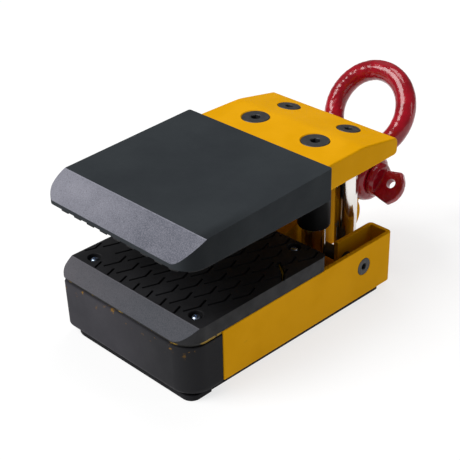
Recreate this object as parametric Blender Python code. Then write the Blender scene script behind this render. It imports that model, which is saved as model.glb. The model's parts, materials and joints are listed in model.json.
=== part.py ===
"""Plate lifting clamp: a slab lifter with two parallel rubber-faced jaws, lying on its back plate.

X runs across the jaws, +Y points to the shackle end and +Z is up. The lower body stands on its
rubber sole sheet at Z = 0. The head slides down four guide rods, drawn by a V of two links whose
common pin is the pin of the bow shackle. Sizes below are in millimetres.
"""
import math

import bmesh
import bpy
from mathutils import Matrix, Vector

MM = 0.001
GAP = 0.3

# Lower body: a box of 4 mm plate with a rubber nose and a rubber sole.
BODY_HALF_WIDTH = 76.0
WALL = 4.0
BODY_FRONT_Y = -124.0
BODY_REAR_Y = 81.0
BODY_BOTTOM_Z = 5.0
BODY_TOP_Z = 54.0
POCKET_WIDTH = 24.6
POCKET_FRONT_Y = 33.0
BEND_RADIUS = 4.5
TOP_PLATE_Z = (51.0, 54.0)
FLOOR_Z = (5.3, 11.0)
SOLE_Z = (0.0, 5.0)
SOLE_HALF_WIDTH = 72.0
SOLE_FRONT_Y = -156.0
SOLE_STEP = (-134.0, 70.5)
SOLE_REAR = (68.0, 73.5)
LINK_NOTCH_HALF_WIDTH = 16.0
LINK_NOTCH_FRONT_Y = 38.0
NOSE_FRONT_Y = -160.7
NOSE_TAPER = 0.8
NOSE_BOTTOM_RADIUS = 5.5

# Tread pads: the lower one is screwed to the top plate, the upper one sits under the head.
LOWER_PAD_Z = (54.3, 67.7)
LOWER_PAD_CREASE_Y = -147.3
LOWER_PAD_REAR_Y = -4.5
UPPER_PAD_Z = (117.5, 124.0)
UPPER_PAD_FRONT_Y = -159.0
UPPER_PAD_HALF_WIDTH = 76.5
PAD_SCREW_FRONT = (60.0, -136.5)
PAD_SCREW_REAR = (47.6, -13.4)
PAD_SCREW_HEAD_RADIUS = 3.6
PAD_SCREW_SHANK_RADIUS = 2.0
PAD_RECESS_RADIUS = 5.6
LOWER_RECESS_Z = 64.3
UPPER_RECESS_Z = 120.7

# Upper jaw: a steel head with a tongue, and a moulded rubber cover over the tongue.
HEAD_HALF_WIDTH_FRONT = 72.5
HEAD_HALF_WIDTH_REAR = 70.0
HEAD_FRONT_Y = -6.2
HEAD_REAR_Y = 89.5
HEAD_BOTTOM_Z = 122.8
HEAD_TOP_Z = 146.2
HEAD_SLOPE_START_Y = 43.0
HEAD_REAR_TOP_Z = 138.8
TONGUE_Z = (124.6, 134.6)
TONGUE_FRONT_Y = -140.0
COVER_HALF_WIDTH = 80.7
COVER_BOTTOM_Z = 121.8
COVER_CREASE = (-142.0, 144.5)
COVER_TIP = (-162.0, 125.5)
COVER_REAR = (-6.5, 149.5)
COVER_BEVEL_SWELL = 3.0
LOWER_BEVEL_SWELL = 1.2

# The front corners of both jaws are tight on the left and full on the right.
LEFT_CORNER_RADIUS = 7.0
RIGHT_CORNER_RADIUS = 24.0

# Guide rods and the long rubber-covered guide sleeves of the front pair.
ROD_X = 33.7
FRONT_ROD_Y = 26.3
REAR_ROD_Y = 68.4
FRONT_ROD_RADIUS = 10.5
REAR_ROD_RADIUS = 9.7
ROD_BASE_Z = (11.3, 19.4)
FRONT_ROD_TOP_Z = 138.0
REAR_ROD_TOP_Z = 134.2
FRONT_BOLT_HEAD_RADIUS = 12.0
REAR_BOLT_HEAD_RADIUS = 10.0
FRONT_BOLT_TOP_Z = 146.0
REAR_BOLT_TOP_Z = 142.0
BOLT_HEAD_DEPTH = 5.6
SLEEVE_RADIUS = 14.1
SLEEVE_Z = (67.5, 122.5)
BORE_CLEARANCE = 0.3

# Linkage: V of two links between the cross shaft, the head pin and the shackle pin.
SHAFT_Y = 43.7
SHAFT_Z = 34.7
SHAFT_RADIUS = 6.0
HEAD_PIN_Z = 134.0
HEAD_PIN_RADIUS = 5.0
SHACKLE_PIN_Y = 108.5
SHACKLE_PIN_Z = 79.0
SHACKLE_PIN_RADIUS = 11.0
LINK_HALF_WIDTH = 14.0
FORK_HALF_GAP = 5.2
FORK_START_Y = 62.0
FORK_FLOOR_Z = 48.0
LINK_EYE_CLEARANCE = 0.8
UPPER_LINK_HALF_WIDTH = 4.7
HEEL = (94.0, 37.0, 19.5)

# Bow shackle, about 18 mm stock, leaning back from upright.
BOW_LEAN = math.radians(33.6)
BOW_STOCK_RADIUS = 9.15
BOW_RADIUS = 37.1
BOW_CENTRE_HEIGHT = 53.7
BOW_MOUTH_ANGLE = math.radians(-35.0)
EAR_INNER_X = 16.0
EAR_OUTER_X = 34.0
EAR_RADIUS = 22.8
PIN_COLLAR_RADIUS = 15.5
PIN_TAB_ANGLE = math.radians(61.0)
PIN_TAB_X = (39.0, 58.8, 66.8)
PIN_TAB_HALF_WIDTH = (12.5, 15.5)
PIN_EYE = (53.3, 4.2)

ROUND_SEGMENTS = 40
SIDES = (("left", -1.0), ("right", 1.0))


def clear_scene():
    for item in list(bpy.data.objects):
        bpy.data.objects.remove(item)


def material(name, colour, metallic, roughness):
    made = bpy.data.materials.new(name)
    made.use_nodes = True
    shader = made.node_tree.nodes["Principled BSDF"]
    shader.inputs["Base Color"].default_value = (*colour, 1.0)
    shader.inputs["Metallic"].default_value = metallic
    shader.inputs["Roughness"].default_value = roughness
    return made


def body_frame(name, pivot_mm):
    """An empty on the body's joint axis, that the body's parts ride on."""
    empty = bpy.data.objects.new(name, None)
    empty.location = Vector(pivot_mm) * MM
    bpy.context.collection.objects.link(empty)
    return empty


def add_part(name, bm, finish, body, smooth=False):
    """Turn a bmesh in world millimetres into a named part of a body."""
    bmesh.ops.remove_doubles(bm, verts=bm.verts, dist=0.01)
    bmesh.ops.recalc_face_normals(bm, faces=bm.faces)
    bmesh.ops.transform(bm, matrix=Matrix.Scale(MM, 4), verts=bm.verts)
    bmesh.ops.translate(bm, vec=-body.location, verts=bm.verts)
    mesh = bpy.data.meshes.new(name)
    bm.to_mesh(mesh)
    bm.free()
    mesh.materials.append(finish)
    part = bpy.data.objects.new(name, mesh)
    bpy.context.collection.objects.link(part)
    part.parent = body
    if smooth:
        mesh.shade_smooth()
        mesh.set_sharp_from_angle(angle=math.radians(35.0))
    return part


def add_cutter(name, bm, body):
    """A hidden solid that a Boolean modifier takes away."""
    cutter = add_part("cut_" + name, bm, CUTTER_FINISH, body)
    cutter.hide_render = True
    cutter.display_type = "WIRE"
    return cutter


def boolean(part, other, operation="DIFFERENCE"):
    modifier = part.modifiers.new(other.name, "BOOLEAN")
    modifier.object = other
    modifier.operation = operation
    modifier.solver = "EXACT"


def rounded(corners, steps=6):
    """An outline through (u, v, radius) corners, each rounded by its radius."""
    outline = []
    count = len(corners)
    for index, (u, v, radius) in enumerate(corners):
        here = Vector((u, v))
        if radius == 0.0:
            outline.append((u, v))
            continue
        before = (Vector(corners[index - 1][:2]) - here).normalized()
        after = (Vector(corners[(index + 1) % count][:2]) - here).normalized()
        half = before.angle(after) / 2.0
        centre = here + (before + after).normalized() * (radius / math.sin(half))
        start = here + before * (radius / math.tan(half)) - centre
        end = here + after * (radius / math.tan(half)) - centre
        turn = math.atan2(start.x * end.y - start.y * end.x, start.dot(end))
        for step in range(steps + 1):
            angle = turn * step / steps
            x = start.x * math.cos(angle) - start.y * math.sin(angle)
            y = start.x * math.sin(angle) + start.y * math.cos(angle)
            outline.append((centre.x + x, centre.y + y))
    return outline


def extrude(outline, low, high, axis):
    """A prism: the outline is (y, z) along X, (x, z) along Y or (x, y) along Z."""
    bm = bmesh.new()

    def place(point, level):
        u, v = point
        return {"X": (level, u, v), "Y": (u, level, v), "Z": (u, v, level)}[axis]

    rings = [[bm.verts.new(place(point, level)) for point in outline] for level in (low, high)]
    bm.faces.new(rings[0])
    bm.faces.new(rings[1])
    for index in range(len(outline)):
        follow = (index + 1) % len(outline)
        bm.faces.new((rings[0][index], rings[0][follow], rings[1][follow], rings[1][index]))
    return bm


def box(x_range, y_range, z_range):
    outline = [(x_range[0], y_range[0]), (x_range[1], y_range[0]),
               (x_range[1], y_range[1]), (x_range[0], y_range[1])]
    return extrude(outline, z_range[0], z_range[1], "Z")


def revolve(profile, centre, axis, segments=ROUND_SEGMENTS):
    """A turned solid: profile is (radius, height) pairs, a zero radius closes an end."""
    bm = bmesh.new()
    rings = []
    for radius, height in profile:
        count = 1 if radius == 0.0 else segments
        ring = []
        for index in range(count):
            angle = 2.0 * math.pi * index / segments
            u = radius * math.cos(angle)
            v = radius * math.sin(angle)
            local = {"X": (height, u, v), "Y": (u, height, v), "Z": (u, v, height)}[axis]
            ring.append(bm.verts.new(Vector(local) + Vector(centre)))
        rings.append(ring)
    closed = profile[0][0] > 0.0
    pairs = list(zip(rings, rings[1:] + ([rings[0]] if closed else [])))
    for lower, upper in pairs[:len(rings) - (0 if closed else 1)]:
        join_rings(bm, lower, upper, segments)
    return bm


def join_rings(bm, lower, upper, segments):
    for index in range(segments):
        follow = (index + 1) % segments
        corners = [lower[index % len(lower)], lower[follow % len(lower)],
                   upper[follow % len(upper)], upper[index % len(upper)]]
        face = list(dict.fromkeys(corners))
        if len(face) > 2:
            bm.faces.new(face)


def rod_shape(radius, low, high, centre, axis):
    return revolve([(0.0, low), (radius, low), (radius, high), (0.0, high)], centre, axis)


def tube_shape(inner, outer, low, high, centre, axis):
    return revolve([(inner, low), (outer, low), (outer, high), (inner, high)], centre, axis)


def swept_tube(path, radius, sides, up):
    """A round bar along a path of points, with flat ends."""
    bm = bmesh.new()
    rings = []
    for index, point in enumerate(path):
        before = path[max(index - 1, 0)]
        after = path[min(index + 1, len(path) - 1)]
        along = (after - before).normalized()
        side = along.cross(up).normalized()
        over = side.cross(along)
        ring = []
        for step in range(sides):
            angle = 2.0 * math.pi * step / sides
            ring.append(bm.verts.new(point + side * radius * math.cos(angle) + over * radius * math.sin(angle)))
        rings.append(ring)
    for lower, upper in zip(rings, rings[1:]):
        join_rings(bm, lower, upper, sides)
    bm.faces.new(rings[0])
    bm.faces.new(rings[-1])
    return bm


def cut_by_plane(bm, point, normal):
    """Keep the side of the solid that the normal points away from."""
    geometry = list(bm.verts) + list(bm.edges) + list(bm.faces)
    cut = bmesh.ops.bisect_plane(bm, geom=geometry, plane_co=point, plane_no=normal, clear_outer=True)
    edges = [item for item in cut["geom_cut"] if isinstance(item, bmesh.types.BMEdge)]
    bmesh.ops.holes_fill(bm, edges=edges, sides=0)


def front_corners(half_width, front_y):
    return [(-half_width, front_y, LEFT_CORNER_RADIUS), (half_width, front_y, RIGHT_CORNER_RADIUS)]


def jaw_outline(half_width, front_y, rear_y, rear_radius):
    return rounded(front_corners(half_width, front_y)
                   + [(half_width, rear_y, rear_radius), (-half_width, rear_y, rear_radius)])


def cut_bevel(bm, crease, lip, swell, facets=4):
    """Cut the front edge of a jaw along a slightly swollen bevel from the crease down to the lip."""
    chord = Vector(lip) - Vector(crease)
    outward = Vector((chord.y, -chord.x)).normalized()
    points = []
    for step in range(facets + 1):
        t = step / facets
        points.append(Vector(crease) + chord * t + outward * 4.0 * swell * t * (1.0 - t))
    for upper, lower in zip(points, points[1:]):
        run = lower - upper
        cut_by_plane(bm, (0.0, upper.x, upper.y), (0.0, run.y, -run.x))


def pad_screw_places():
    return [(name + side_name, side * x, y)
            for name, (x, y) in (("front_", PAD_SCREW_FRONT), ("rear_", PAD_SCREW_REAR))
            for side_name, side in SIDES]


# Lower body -----------------------------------------------------------------------------------

def make_side_frame(side_name, side):
    """Outer wall, rear wall and short inner wall, bent from one strip of plate."""
    outer = BODY_HALF_WIDTH
    inner = BODY_HALF_WIDTH - POCKET_WIDTH
    bend = BEND_RADIUS
    inside = BEND_RADIUS - WALL
    corners = [(outer, BODY_FRONT_Y, 0.0), (outer, BODY_REAR_Y, bend), (inner, BODY_REAR_Y, bend),
               (inner, POCKET_FRONT_Y, 0.0), (inner + WALL, POCKET_FRONT_Y, 0.0),
               (inner + WALL, BODY_REAR_Y - WALL, inside), (outer - WALL, BODY_REAR_Y - WALL, inside),
               (outer - WALL, BODY_FRONT_Y, 0.0)]
    outline = [(side * x, y) for x, y in rounded(corners)]
    bm = extrude(outline, BODY_BOTTOM_Z, BODY_TOP_Z, "Z")
    frame = add_part("side_frame_" + side_name, bm, YELLOW, LOWER_BODY)
    reach = (inner - 5.0, outer - WALL - 0.5)
    bore = rod_shape(SHAFT_RADIUS + GAP, side * reach[0], side * reach[1], (0.0, SHAFT_Y, SHAFT_Z), "X")
    boolean(frame, add_cutter("shaft_bore_" + side_name, bore, LOWER_BODY))
    seat = revolve([(0.0, side * (outer + 1.0)), (9.3, side * (outer + 1.0)), (4.3, side * (outer - WALL)),
                    (4.3, side * (outer - WALL - 2.0)), (0.0, side * (outer - WALL - 2.0))],
                   (0.0, SHAFT_Y, SHAFT_Z), "X", 24)
    boolean(frame, add_cutter("side_bolt_seat_" + side_name, seat, LOWER_BODY))


def make_top_plate():
    nose_x = BODY_HALF_WIDTH - 1.5
    body_x = BODY_HALF_WIDTH - WALL - GAP
    corners = front_corners(nose_x, NOSE_FRONT_Y + 2.0)
    corners += [(nose_x, BODY_FRONT_Y - GAP, 0.0),
                (body_x, BODY_FRONT_Y - GAP, 0.0), (body_x, LOWER_PAD_REAR_Y - 1.0, 0.0),
                (-body_x, LOWER_PAD_REAR_Y - 1.0, 0.0), (-body_x, BODY_FRONT_Y - GAP, 0.0),
                (-nose_x, BODY_FRONT_Y - GAP, 0.0)]
    bm = extrude(rounded(corners), TOP_PLATE_Z[0], TOP_PLATE_Z[1], "Z")
    plate = add_part("top_plate", bm, YELLOW, LOWER_BODY)
    for name, x, y in pad_screw_places():
        hole = rod_shape(PAD_SCREW_SHANK_RADIUS + GAP, 40.0, 60.0, (x, y, 0.0), "Z")
        boolean(plate, add_cutter("plate_hole_" + name, hole, LOWER_BODY))


def make_floor_plate():
    wide = BODY_HALF_WIDTH - WALL - GAP
    narrow = BODY_HALF_WIDTH - POCKET_WIDTH - GAP
    rear_y = BODY_REAR_Y - WALL - 0.5
    notch = LINK_NOTCH_HALF_WIDTH
    outline = [(-wide, BODY_FRONT_Y), (wide, BODY_FRONT_Y), (wide, POCKET_FRONT_Y - GAP),
               (narrow, POCKET_FRONT_Y - GAP), (narrow, rear_y), (notch, rear_y), (notch, LINK_NOTCH_FRONT_Y),
               (-notch, LINK_NOTCH_FRONT_Y), (-notch, rear_y), (-narrow, rear_y),
               (-narrow, POCKET_FRONT_Y - GAP), (-wide, POCKET_FRONT_Y - GAP)]
    add_part("floor_plate", extrude(outline, FLOOR_Z[0], FLOOR_Z[1], "Z"), YELLOW, LOWER_BODY)


def make_nose_bumper():
    """A rubber block that is rounded in plan and rolls under along its bottom edge."""
    bm = bmesh.new()
    half = BODY_HALF_WIDTH - 0.4
    rings = []
    heights = [(TOP_PLATE_Z[0] - GAP, 0.0)]
    for step in range(6):
        angle = math.pi / 2.0 * step / 5.0
        inset = NOSE_TAPER + NOSE_BOTTOM_RADIUS * (1.0 - math.cos(angle))
        heights.append((SOLE_Z[1] + GAP + NOSE_BOTTOM_RADIUS * (1.0 - math.sin(angle)), inset))
    for z, inset in heights:
        x = half - 0.35 * inset
        outline = rounded(front_corners(x, NOSE_FRONT_Y + inset)
                          + [(x, BODY_FRONT_Y - GAP, 0.0), (-x, BODY_FRONT_Y - GAP, 0.0)])
        rings.append([bm.verts.new((u, v, z)) for u, v in outline])
    for upper, lower in zip(rings, rings[1:]):
        join_rings(bm, upper, lower, len(upper))
    bm.faces.new(rings[0])
    bm.faces.new(rings[-1])
    add_part("nose_bumper", bm, RUBBER, LOWER_BODY, smooth=True)


def make_sole_sheet():
    half = SOLE_HALF_WIDTH
    notch = LINK_NOTCH_HALF_WIDTH
    step_y, step_x = SOLE_STEP
    rear_y, rear_x = SOLE_REAR
    corners = [(-half, SOLE_FRONT_Y, 14.0), (half, SOLE_FRONT_Y, 9.0), (half, step_y, 0.0), (step_x, step_y, 0.0),
               (rear_x, rear_y, 3.0), (notch, rear_y, 0.0), (notch, LINK_NOTCH_FRONT_Y, 0.0),
               (-notch, LINK_NOTCH_FRONT_Y, 0.0), (-notch, rear_y, 0.0), (-rear_x, rear_y, 3.0),
               (-step_x, step_y, 0.0), (-half, step_y, 0.0)]
    bm = extrude(rounded(corners), SOLE_Z[0], SOLE_Z[1] - 0.1, "Z")
    add_part("sole_sheet", bm, RUBBER, LOWER_BODY)


def make_lower_tread_pad():
    outline = jaw_outline(BODY_HALF_WIDTH, NOSE_FRONT_Y, LOWER_PAD_REAR_Y, 6.0)
    bm = extrude(outline, LOWER_PAD_Z[0], LOWER_PAD_Z[1], "Z")
    crease = (LOWER_PAD_CREASE_Y, LOWER_PAD_Z[1])
    cut_bevel(bm, crease, (NOSE_FRONT_Y, LOWER_PAD_Z[0] + 0.6), LOWER_BEVEL_SWELL)
    pad = add_part("lower_tread_pad", bm, RUBBER, LOWER_BODY)
    for name, x, y in pad_screw_places():
        recess = revolve([(0.0, 50.0), (PAD_SCREW_SHANK_RADIUS + GAP, 50.0),
                          (PAD_SCREW_SHANK_RADIUS + GAP, LOWER_RECESS_Z), (PAD_RECESS_RADIUS, LOWER_RECESS_Z),
                          (PAD_RECESS_RADIUS, 70.0), (0.0, 70.0)], (x, y, 0.0), "Z", 20)
        boolean(pad, add_cutter("lower_recess_" + name, recess, LOWER_BODY))


def screw_shape(head_z, tip_z, place):
    """A round-headed screw with a socket, from head_z at its rim down (or up) to its tip."""
    way = 1.0 if head_z > tip_z else -1.0
    head = PAD_SCREW_HEAD_RADIUS
    shank = PAD_SCREW_SHANK_RADIUS
    top = head_z + way * 2.4
    profile = [(0.0, tip_z), (shank, tip_z), (shank, head_z), (head, head_z), (head, head_z + way * 1.2),
               (head * 0.7, top), (1.6, top), (1.2, top - way * 1.3), (0.0, top - way * 1.3)]
    return revolve(profile, place, "Z", 18)


def make_pad_screws():
    for name, x, y in pad_screw_places():
        lower = screw_shape(LOWER_RECESS_Z + 0.2, 51.2, (x, y, 0.0))
        add_part("lower_pad_screw_" + name, lower, BRIGHT_STEEL, LOWER_BODY, smooth=True)
        upper = screw_shape(UPPER_RECESS_Z - GAP, 129.0, (x, y, 0.0))
        add_part("upper_pad_screw_" + name, upper, BRIGHT_STEEL, UPPER_JAW, smooth=True)


def make_rod_base(side_name, side):
    """A bar on the floor plate that holds the lower ends of two rods."""
    inner_x = LINK_NOTCH_HALF_WIDTH + 1.0
    outer_x = BODY_HALF_WIDTH - POCKET_WIDTH - 1.0
    bm = box(sorted((side * inner_x, side * outer_x)), (FRONT_ROD_Y - 15.0, BODY_REAR_Y - WALL - 1.0), ROD_BASE_Z)
    bar = add_part("rod_base_" + side_name, bm, YELLOW, LOWER_BODY)
    for name, y, radius in (("front", FRONT_ROD_Y, FRONT_ROD_RADIUS), ("rear", REAR_ROD_Y, REAR_ROD_RADIUS)):
        hole = rod_shape(radius + 0.1, ROD_BASE_Z[0] + 2.0, 30.0, (side * ROD_X, y, 0.0), "Z")
        boolean(bar, add_cutter("rod_seat_" + name + side_name, hole, LOWER_BODY))


def make_guide_rod(name, side, y, radius, top_z, head_radius, bolt_top_z):
    """A chromed rod with a tapped upper end, and the countersunk bolt that holds the head on it."""
    place = (side * ROD_X, y, 0.0)
    shank = 5.0
    foot_z = ROD_BASE_Z[0] + 2.1
    rod = revolve([(0.0, foot_z), (radius, foot_z), (radius, top_z), (shank + GAP, top_z),
                   (shank + GAP, top_z - 26.0), (0.0, top_z - 26.0)], place, "Z")
    add_part(name + "_rod", rod, CHROME, LOWER_BODY, smooth=True)
    seat_z = bolt_top_z - BOLT_HEAD_DEPTH
    socket = head_radius * 0.36
    bolt = revolve([(0.0, top_z - 24.0), (shank, top_z - 24.0), (shank, top_z + GAP),
                    (radius - 1.0, top_z + GAP), (radius - 1.0, seat_z), (head_radius, bolt_top_z - 0.8),
                    (head_radius, bolt_top_z), (socket, bolt_top_z), (socket, bolt_top_z - 4.5),
                    (0.0, bolt_top_z - 4.5)], place, "Z")
    add_part(name + "_rod_bolt", bolt, BLACK_STEEL, LOWER_BODY, smooth=True)


def make_cross_shaft():
    """The shaft between the side walls that the lower link turns on, tapped at both ends."""
    end = BODY_HALF_WIDTH - WALL - 0.5
    bm = revolve([(0.0, 12.0 - end), (4.3, 12.0 - end), (4.3, -end), (SHAFT_RADIUS, -end), (SHAFT_RADIUS, end),
                  (4.3, end), (4.3, end - 12.0), (0.0, end - 12.0)], (0.0, SHAFT_Y, SHAFT_Z), "X", 28)
    add_part("cross_shaft", bm, BLACK_STEEL, LOWER_BODY, smooth=True)


def make_side_bolt(side_name, side):
    outer = BODY_HALF_WIDTH - 0.1
    bm = revolve([(0.0, side * (outer - 14.0)), (4.0, side * (outer - 14.0)), (4.0, side * (outer - 4.2)),
                  (8.0, side * (outer - 0.2)), (8.0, side * outer), (3.0, side * outer),
                  (3.0, side * (outer - 3.0)), (0.0, side * (outer - 3.0))],
                 (0.0, SHAFT_Y, SHAFT_Z), "X", 24)
    add_part("side_bolt_" + side_name, bm, BLACK_STEEL, LOWER_BODY, smooth=True)


def make_opening_spring(side_name, side):
    """A torsion spring on the cross shaft, beside the lower link, that keeps the jaws apart."""
    wire = 1.1
    coil = SHAFT_RADIUS + 0.8 + wire
    turns = 2.5
    start_x = side * (LINK_HALF_WIDTH + 1.6)
    path = [Vector((start_x, SHAFT_Y + 16.0, SHAFT_Z + coil))]
    steps = int(turns * 18)
    for step in range(steps + 1):
        angle = math.pi / 2.0 + 2.0 * math.pi * turns * step / steps
        x = start_x + side * 2.0 * wire * 1.12 * turns * step / steps
        path.append(Vector((x, SHAFT_Y + coil * math.cos(angle), SHAFT_Z + coil * math.sin(angle))))
    path.append(path[-1] + Vector((0.0, 14.0, 0.0)))
    bm = swept_tube(path, wire, 8, Vector((1.0, 0.0, 0.0)))
    add_part("opening_spring_" + side_name, bm, BRIGHT_STEEL, LOWER_BODY, smooth=True)


# Upper jaw ------------------------------------------------------------------------------------

def make_head_block():
    """A solid head that narrows to the rear, with the flat tongue that carries the front of the jaw."""
    profile = rounded([(HEAD_FRONT_Y, HEAD_BOTTOM_Z, 0.0), (HEAD_REAR_Y, HEAD_BOTTOM_Z, 4.0),
                       (HEAD_REAR_Y, HEAD_REAR_TOP_Z - 1.5, 5.0), (HEAD_SLOPE_START_Y, HEAD_TOP_Z, 60.0),
                       (HEAD_FRONT_Y, HEAD_TOP_Z, 0.0)])
    bm = extrude(profile, -HEAD_HALF_WIDTH_FRONT, HEAD_HALF_WIDTH_FRONT, "X")
    taper = (HEAD_HALF_WIDTH_FRONT - HEAD_HALF_WIDTH_REAR) / (HEAD_REAR_Y - HEAD_FRONT_Y)
    for vert in bm.verts:
        vert.co.x -= math.copysign(taper * (vert.co.y - HEAD_FRONT_Y), vert.co.x)
    for _, side in SIDES:
        corner = (side * (HEAD_HALF_WIDTH_REAR - 3.5), HEAD_REAR_Y, 0.0)
        cut_by_plane(bm, corner, (side, 1.0, 0.0))
    head = add_part("head_block", bm, YELLOW, UPPER_JAW)
    half = HEAD_HALF_WIDTH_FRONT - 0.5
    tongue = extrude(rounded([(-half, TONGUE_FRONT_Y, 18.0), (half, TONGUE_FRONT_Y, 18.0),
                              (half, 4.0, 0.0), (-half, 4.0, 0.0)]), TONGUE_Z[0], TONGUE_Z[1], "Z")
    boolean(head, add_cutter("tongue", tongue, UPPER_JAW), "UNION")
    for side_name, side in SIDES:
        for name, y, radius, top_z, cone in (
                ("front_", FRONT_ROD_Y, FRONT_ROD_RADIUS, HEAD_TOP_Z, FRONT_BOLT_HEAD_RADIUS),
                ("rear_", REAR_ROD_Y, REAR_ROD_RADIUS, REAR_BOLT_TOP_Z, REAR_BOLT_HEAD_RADIUS)):
            bore = radius + BORE_CLEARANCE
            seat_z = top_z - BOLT_HEAD_DEPTH + 0.4
            shape = revolve([(0.0, 110.0), (bore, 110.0), (bore, seat_z), (cone + GAP, top_z - 1.0),
                             (cone + GAP, 160.0), (0.0, 160.0)], (side * ROD_X, y, 0.0), "Z")
            boolean(head, add_cutter("head_bore_" + name + side_name, shape, UPPER_JAW))
    slot = extrude([(SHAFT_Y - 9.4, 118.0), (HEAD_REAR_Y + 3.0, 118.0), (HEAD_REAR_Y + 3.0, 128.5),
                    (SHAFT_Y + 12.0, HEAD_PIN_Z + 8.8), (SHAFT_Y - 9.4, HEAD_PIN_Z + 8.8)],
                   -FORK_HALF_GAP, FORK_HALF_GAP, "X")
    boolean(head, add_cutter("link_slot", slot, UPPER_JAW))
    bore = rod_shape(HEAD_PIN_RADIUS + 0.1, -90.0, 28.0, (0.0, SHAFT_Y, HEAD_PIN_Z), "X")
    boolean(head, add_cutter("head_pin_bore", bore, UPPER_JAW))
    for name, x, y in pad_screw_places():
        hole = rod_shape(PAD_SCREW_SHANK_RADIUS + GAP, 110.0, 130.0, (x, y, 0.0), "Z")
        boolean(head, add_cutter("tongue_hole_" + name, hole, UPPER_JAW))


def make_upper_cover():
    """Moulded rubber over the tongue: flat top that rises to the rear, and a long front bevel."""
    outline = jaw_outline(COVER_HALF_WIDTH, COVER_TIP[0], COVER_REAR[0], 2.0)
    bm = extrude(outline, COVER_BOTTOM_Z, COVER_REAR[1] + 5.0, "Z")
    rise = COVER_REAR[1] - COVER_CREASE[1]
    run = COVER_REAR[0] - COVER_CREASE[0]
    cut_by_plane(bm, (0.0, COVER_CREASE[0], COVER_CREASE[1]), (0.0, -rise, run))
    cut_bevel(bm, COVER_CREASE, COVER_TIP, COVER_BEVEL_SWELL)
    cover = add_part("upper_cover", bm, RUBBER, UPPER_JAW)
    half = HEAD_HALF_WIDTH_FRONT + GAP
    cavity = box((-half, half), (TONGUE_FRONT_Y - GAP, 10.0), (110.0, TONGUE_Z[1] + GAP))
    boolean(cover, add_cutter("tongue_cavity", cavity, UPPER_JAW))
    seat = extrude(jaw_outline(UPPER_PAD_HALF_WIDTH + GAP, UPPER_PAD_FRONT_Y - GAP, 10.0, 2.0),
                   110.0, UPPER_PAD_Z[1] + GAP, "Z")
    boolean(cover, add_cutter("pad_seat", seat, UPPER_JAW))


def make_upper_tread_pad():
    outline = jaw_outline(UPPER_PAD_HALF_WIDTH, UPPER_PAD_FRONT_Y, LOWER_PAD_REAR_Y - 3.0, 6.0)
    bm = extrude(outline, UPPER_PAD_Z[0], UPPER_PAD_Z[1], "Z")
    pad = add_part("upper_tread_pad", bm, RUBBER, UPPER_JAW)
    for name, x, y in pad_screw_places():
        recess = revolve([(0.0, 110.0), (PAD_RECESS_RADIUS, 110.0), (PAD_RECESS_RADIUS, UPPER_RECESS_Z),
                          (PAD_SCREW_SHANK_RADIUS + GAP, UPPER_RECESS_Z), (PAD_SCREW_SHANK_RADIUS + GAP, 130.0),
                          (0.0, 130.0)], (x, y, 0.0), "Z", 20)
        boolean(pad, add_cutter("upper_recess_" + name, recess, UPPER_JAW))


def make_guide_sleeve(side_name, side):
    bm = tube_shape(FRONT_ROD_RADIUS + BORE_CLEARANCE, SLEEVE_RADIUS, SLEEVE_Z[0], SLEEVE_Z[1],
                    (side * ROD_X, FRONT_ROD_Y, 0.0), "Z")
    add_part("guide_sleeve_" + side_name, bm, RUBBER, UPPER_JAW, smooth=True)


def make_head_pin():
    bm = rod_shape(HEAD_PIN_RADIUS, -34.0, 27.5, (0.0, SHAFT_Y, HEAD_PIN_Z), "X")
    add_part("head_pin", bm, BRIGHT_STEEL, UPPER_JAW, smooth=True)


# Links ----------------------------------------------------------------------------------------

def circle_points(centre, radius, start_degrees, end_degrees, steps):
    points = []
    for step in range(steps + 1):
        angle = math.radians(start_degrees + (end_degrees - start_degrees) * step / steps)
        points.append((centre[0] + radius * math.cos(angle), centre[1] + radius * math.sin(angle)))
    return points


def make_lower_link():
    """The solid front part turns on the cross shaft, the forked rear part carries the shackle pin."""
    eye = (SHACKLE_PIN_Y, SHACKLE_PIN_Z)
    heel = HEEL[:2]
    outline = rounded([(2.5, 24.0, 0.0), (2.5, 53.5, 0.0)])
    outline += [(28.0, 58.7), (40.0, 61.5)]
    outline += circle_points(eye, 21.0, 132.0, -38.0, 16)
    outline += [(110.5, 54.0)]
    outline += circle_points(heel, HEEL[2], 32.0, -90.0, 10)
    outline += circle_points((SHAFT_Y, SHAFT_Z), 17.5, -90.0, -120.0, 3)
    link = add_part("lower_link", extrude(outline, -LINK_HALF_WIDTH, LINK_HALF_WIDTH, "X"), YELLOW, LOWER_LINK)
    fork = box((-FORK_HALF_GAP, FORK_HALF_GAP), (FORK_START_Y, 140.0), (FORK_FLOOR_Z, 120.0))
    boolean(link, add_cutter("fork_slot", fork, LOWER_LINK))
    for name, y, z, radius in (("shaft", SHAFT_Y, SHAFT_Z, SHAFT_RADIUS),
                               ("eye", SHACKLE_PIN_Y, SHACKLE_PIN_Z, SHACKLE_PIN_RADIUS)):
        bore = rod_shape(radius + BORE_CLEARANCE, -20.0, 20.0, (0.0, y, z), "X")
        boolean(link, add_cutter("lower_link_" + name, bore, LOWER_LINK))


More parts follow.
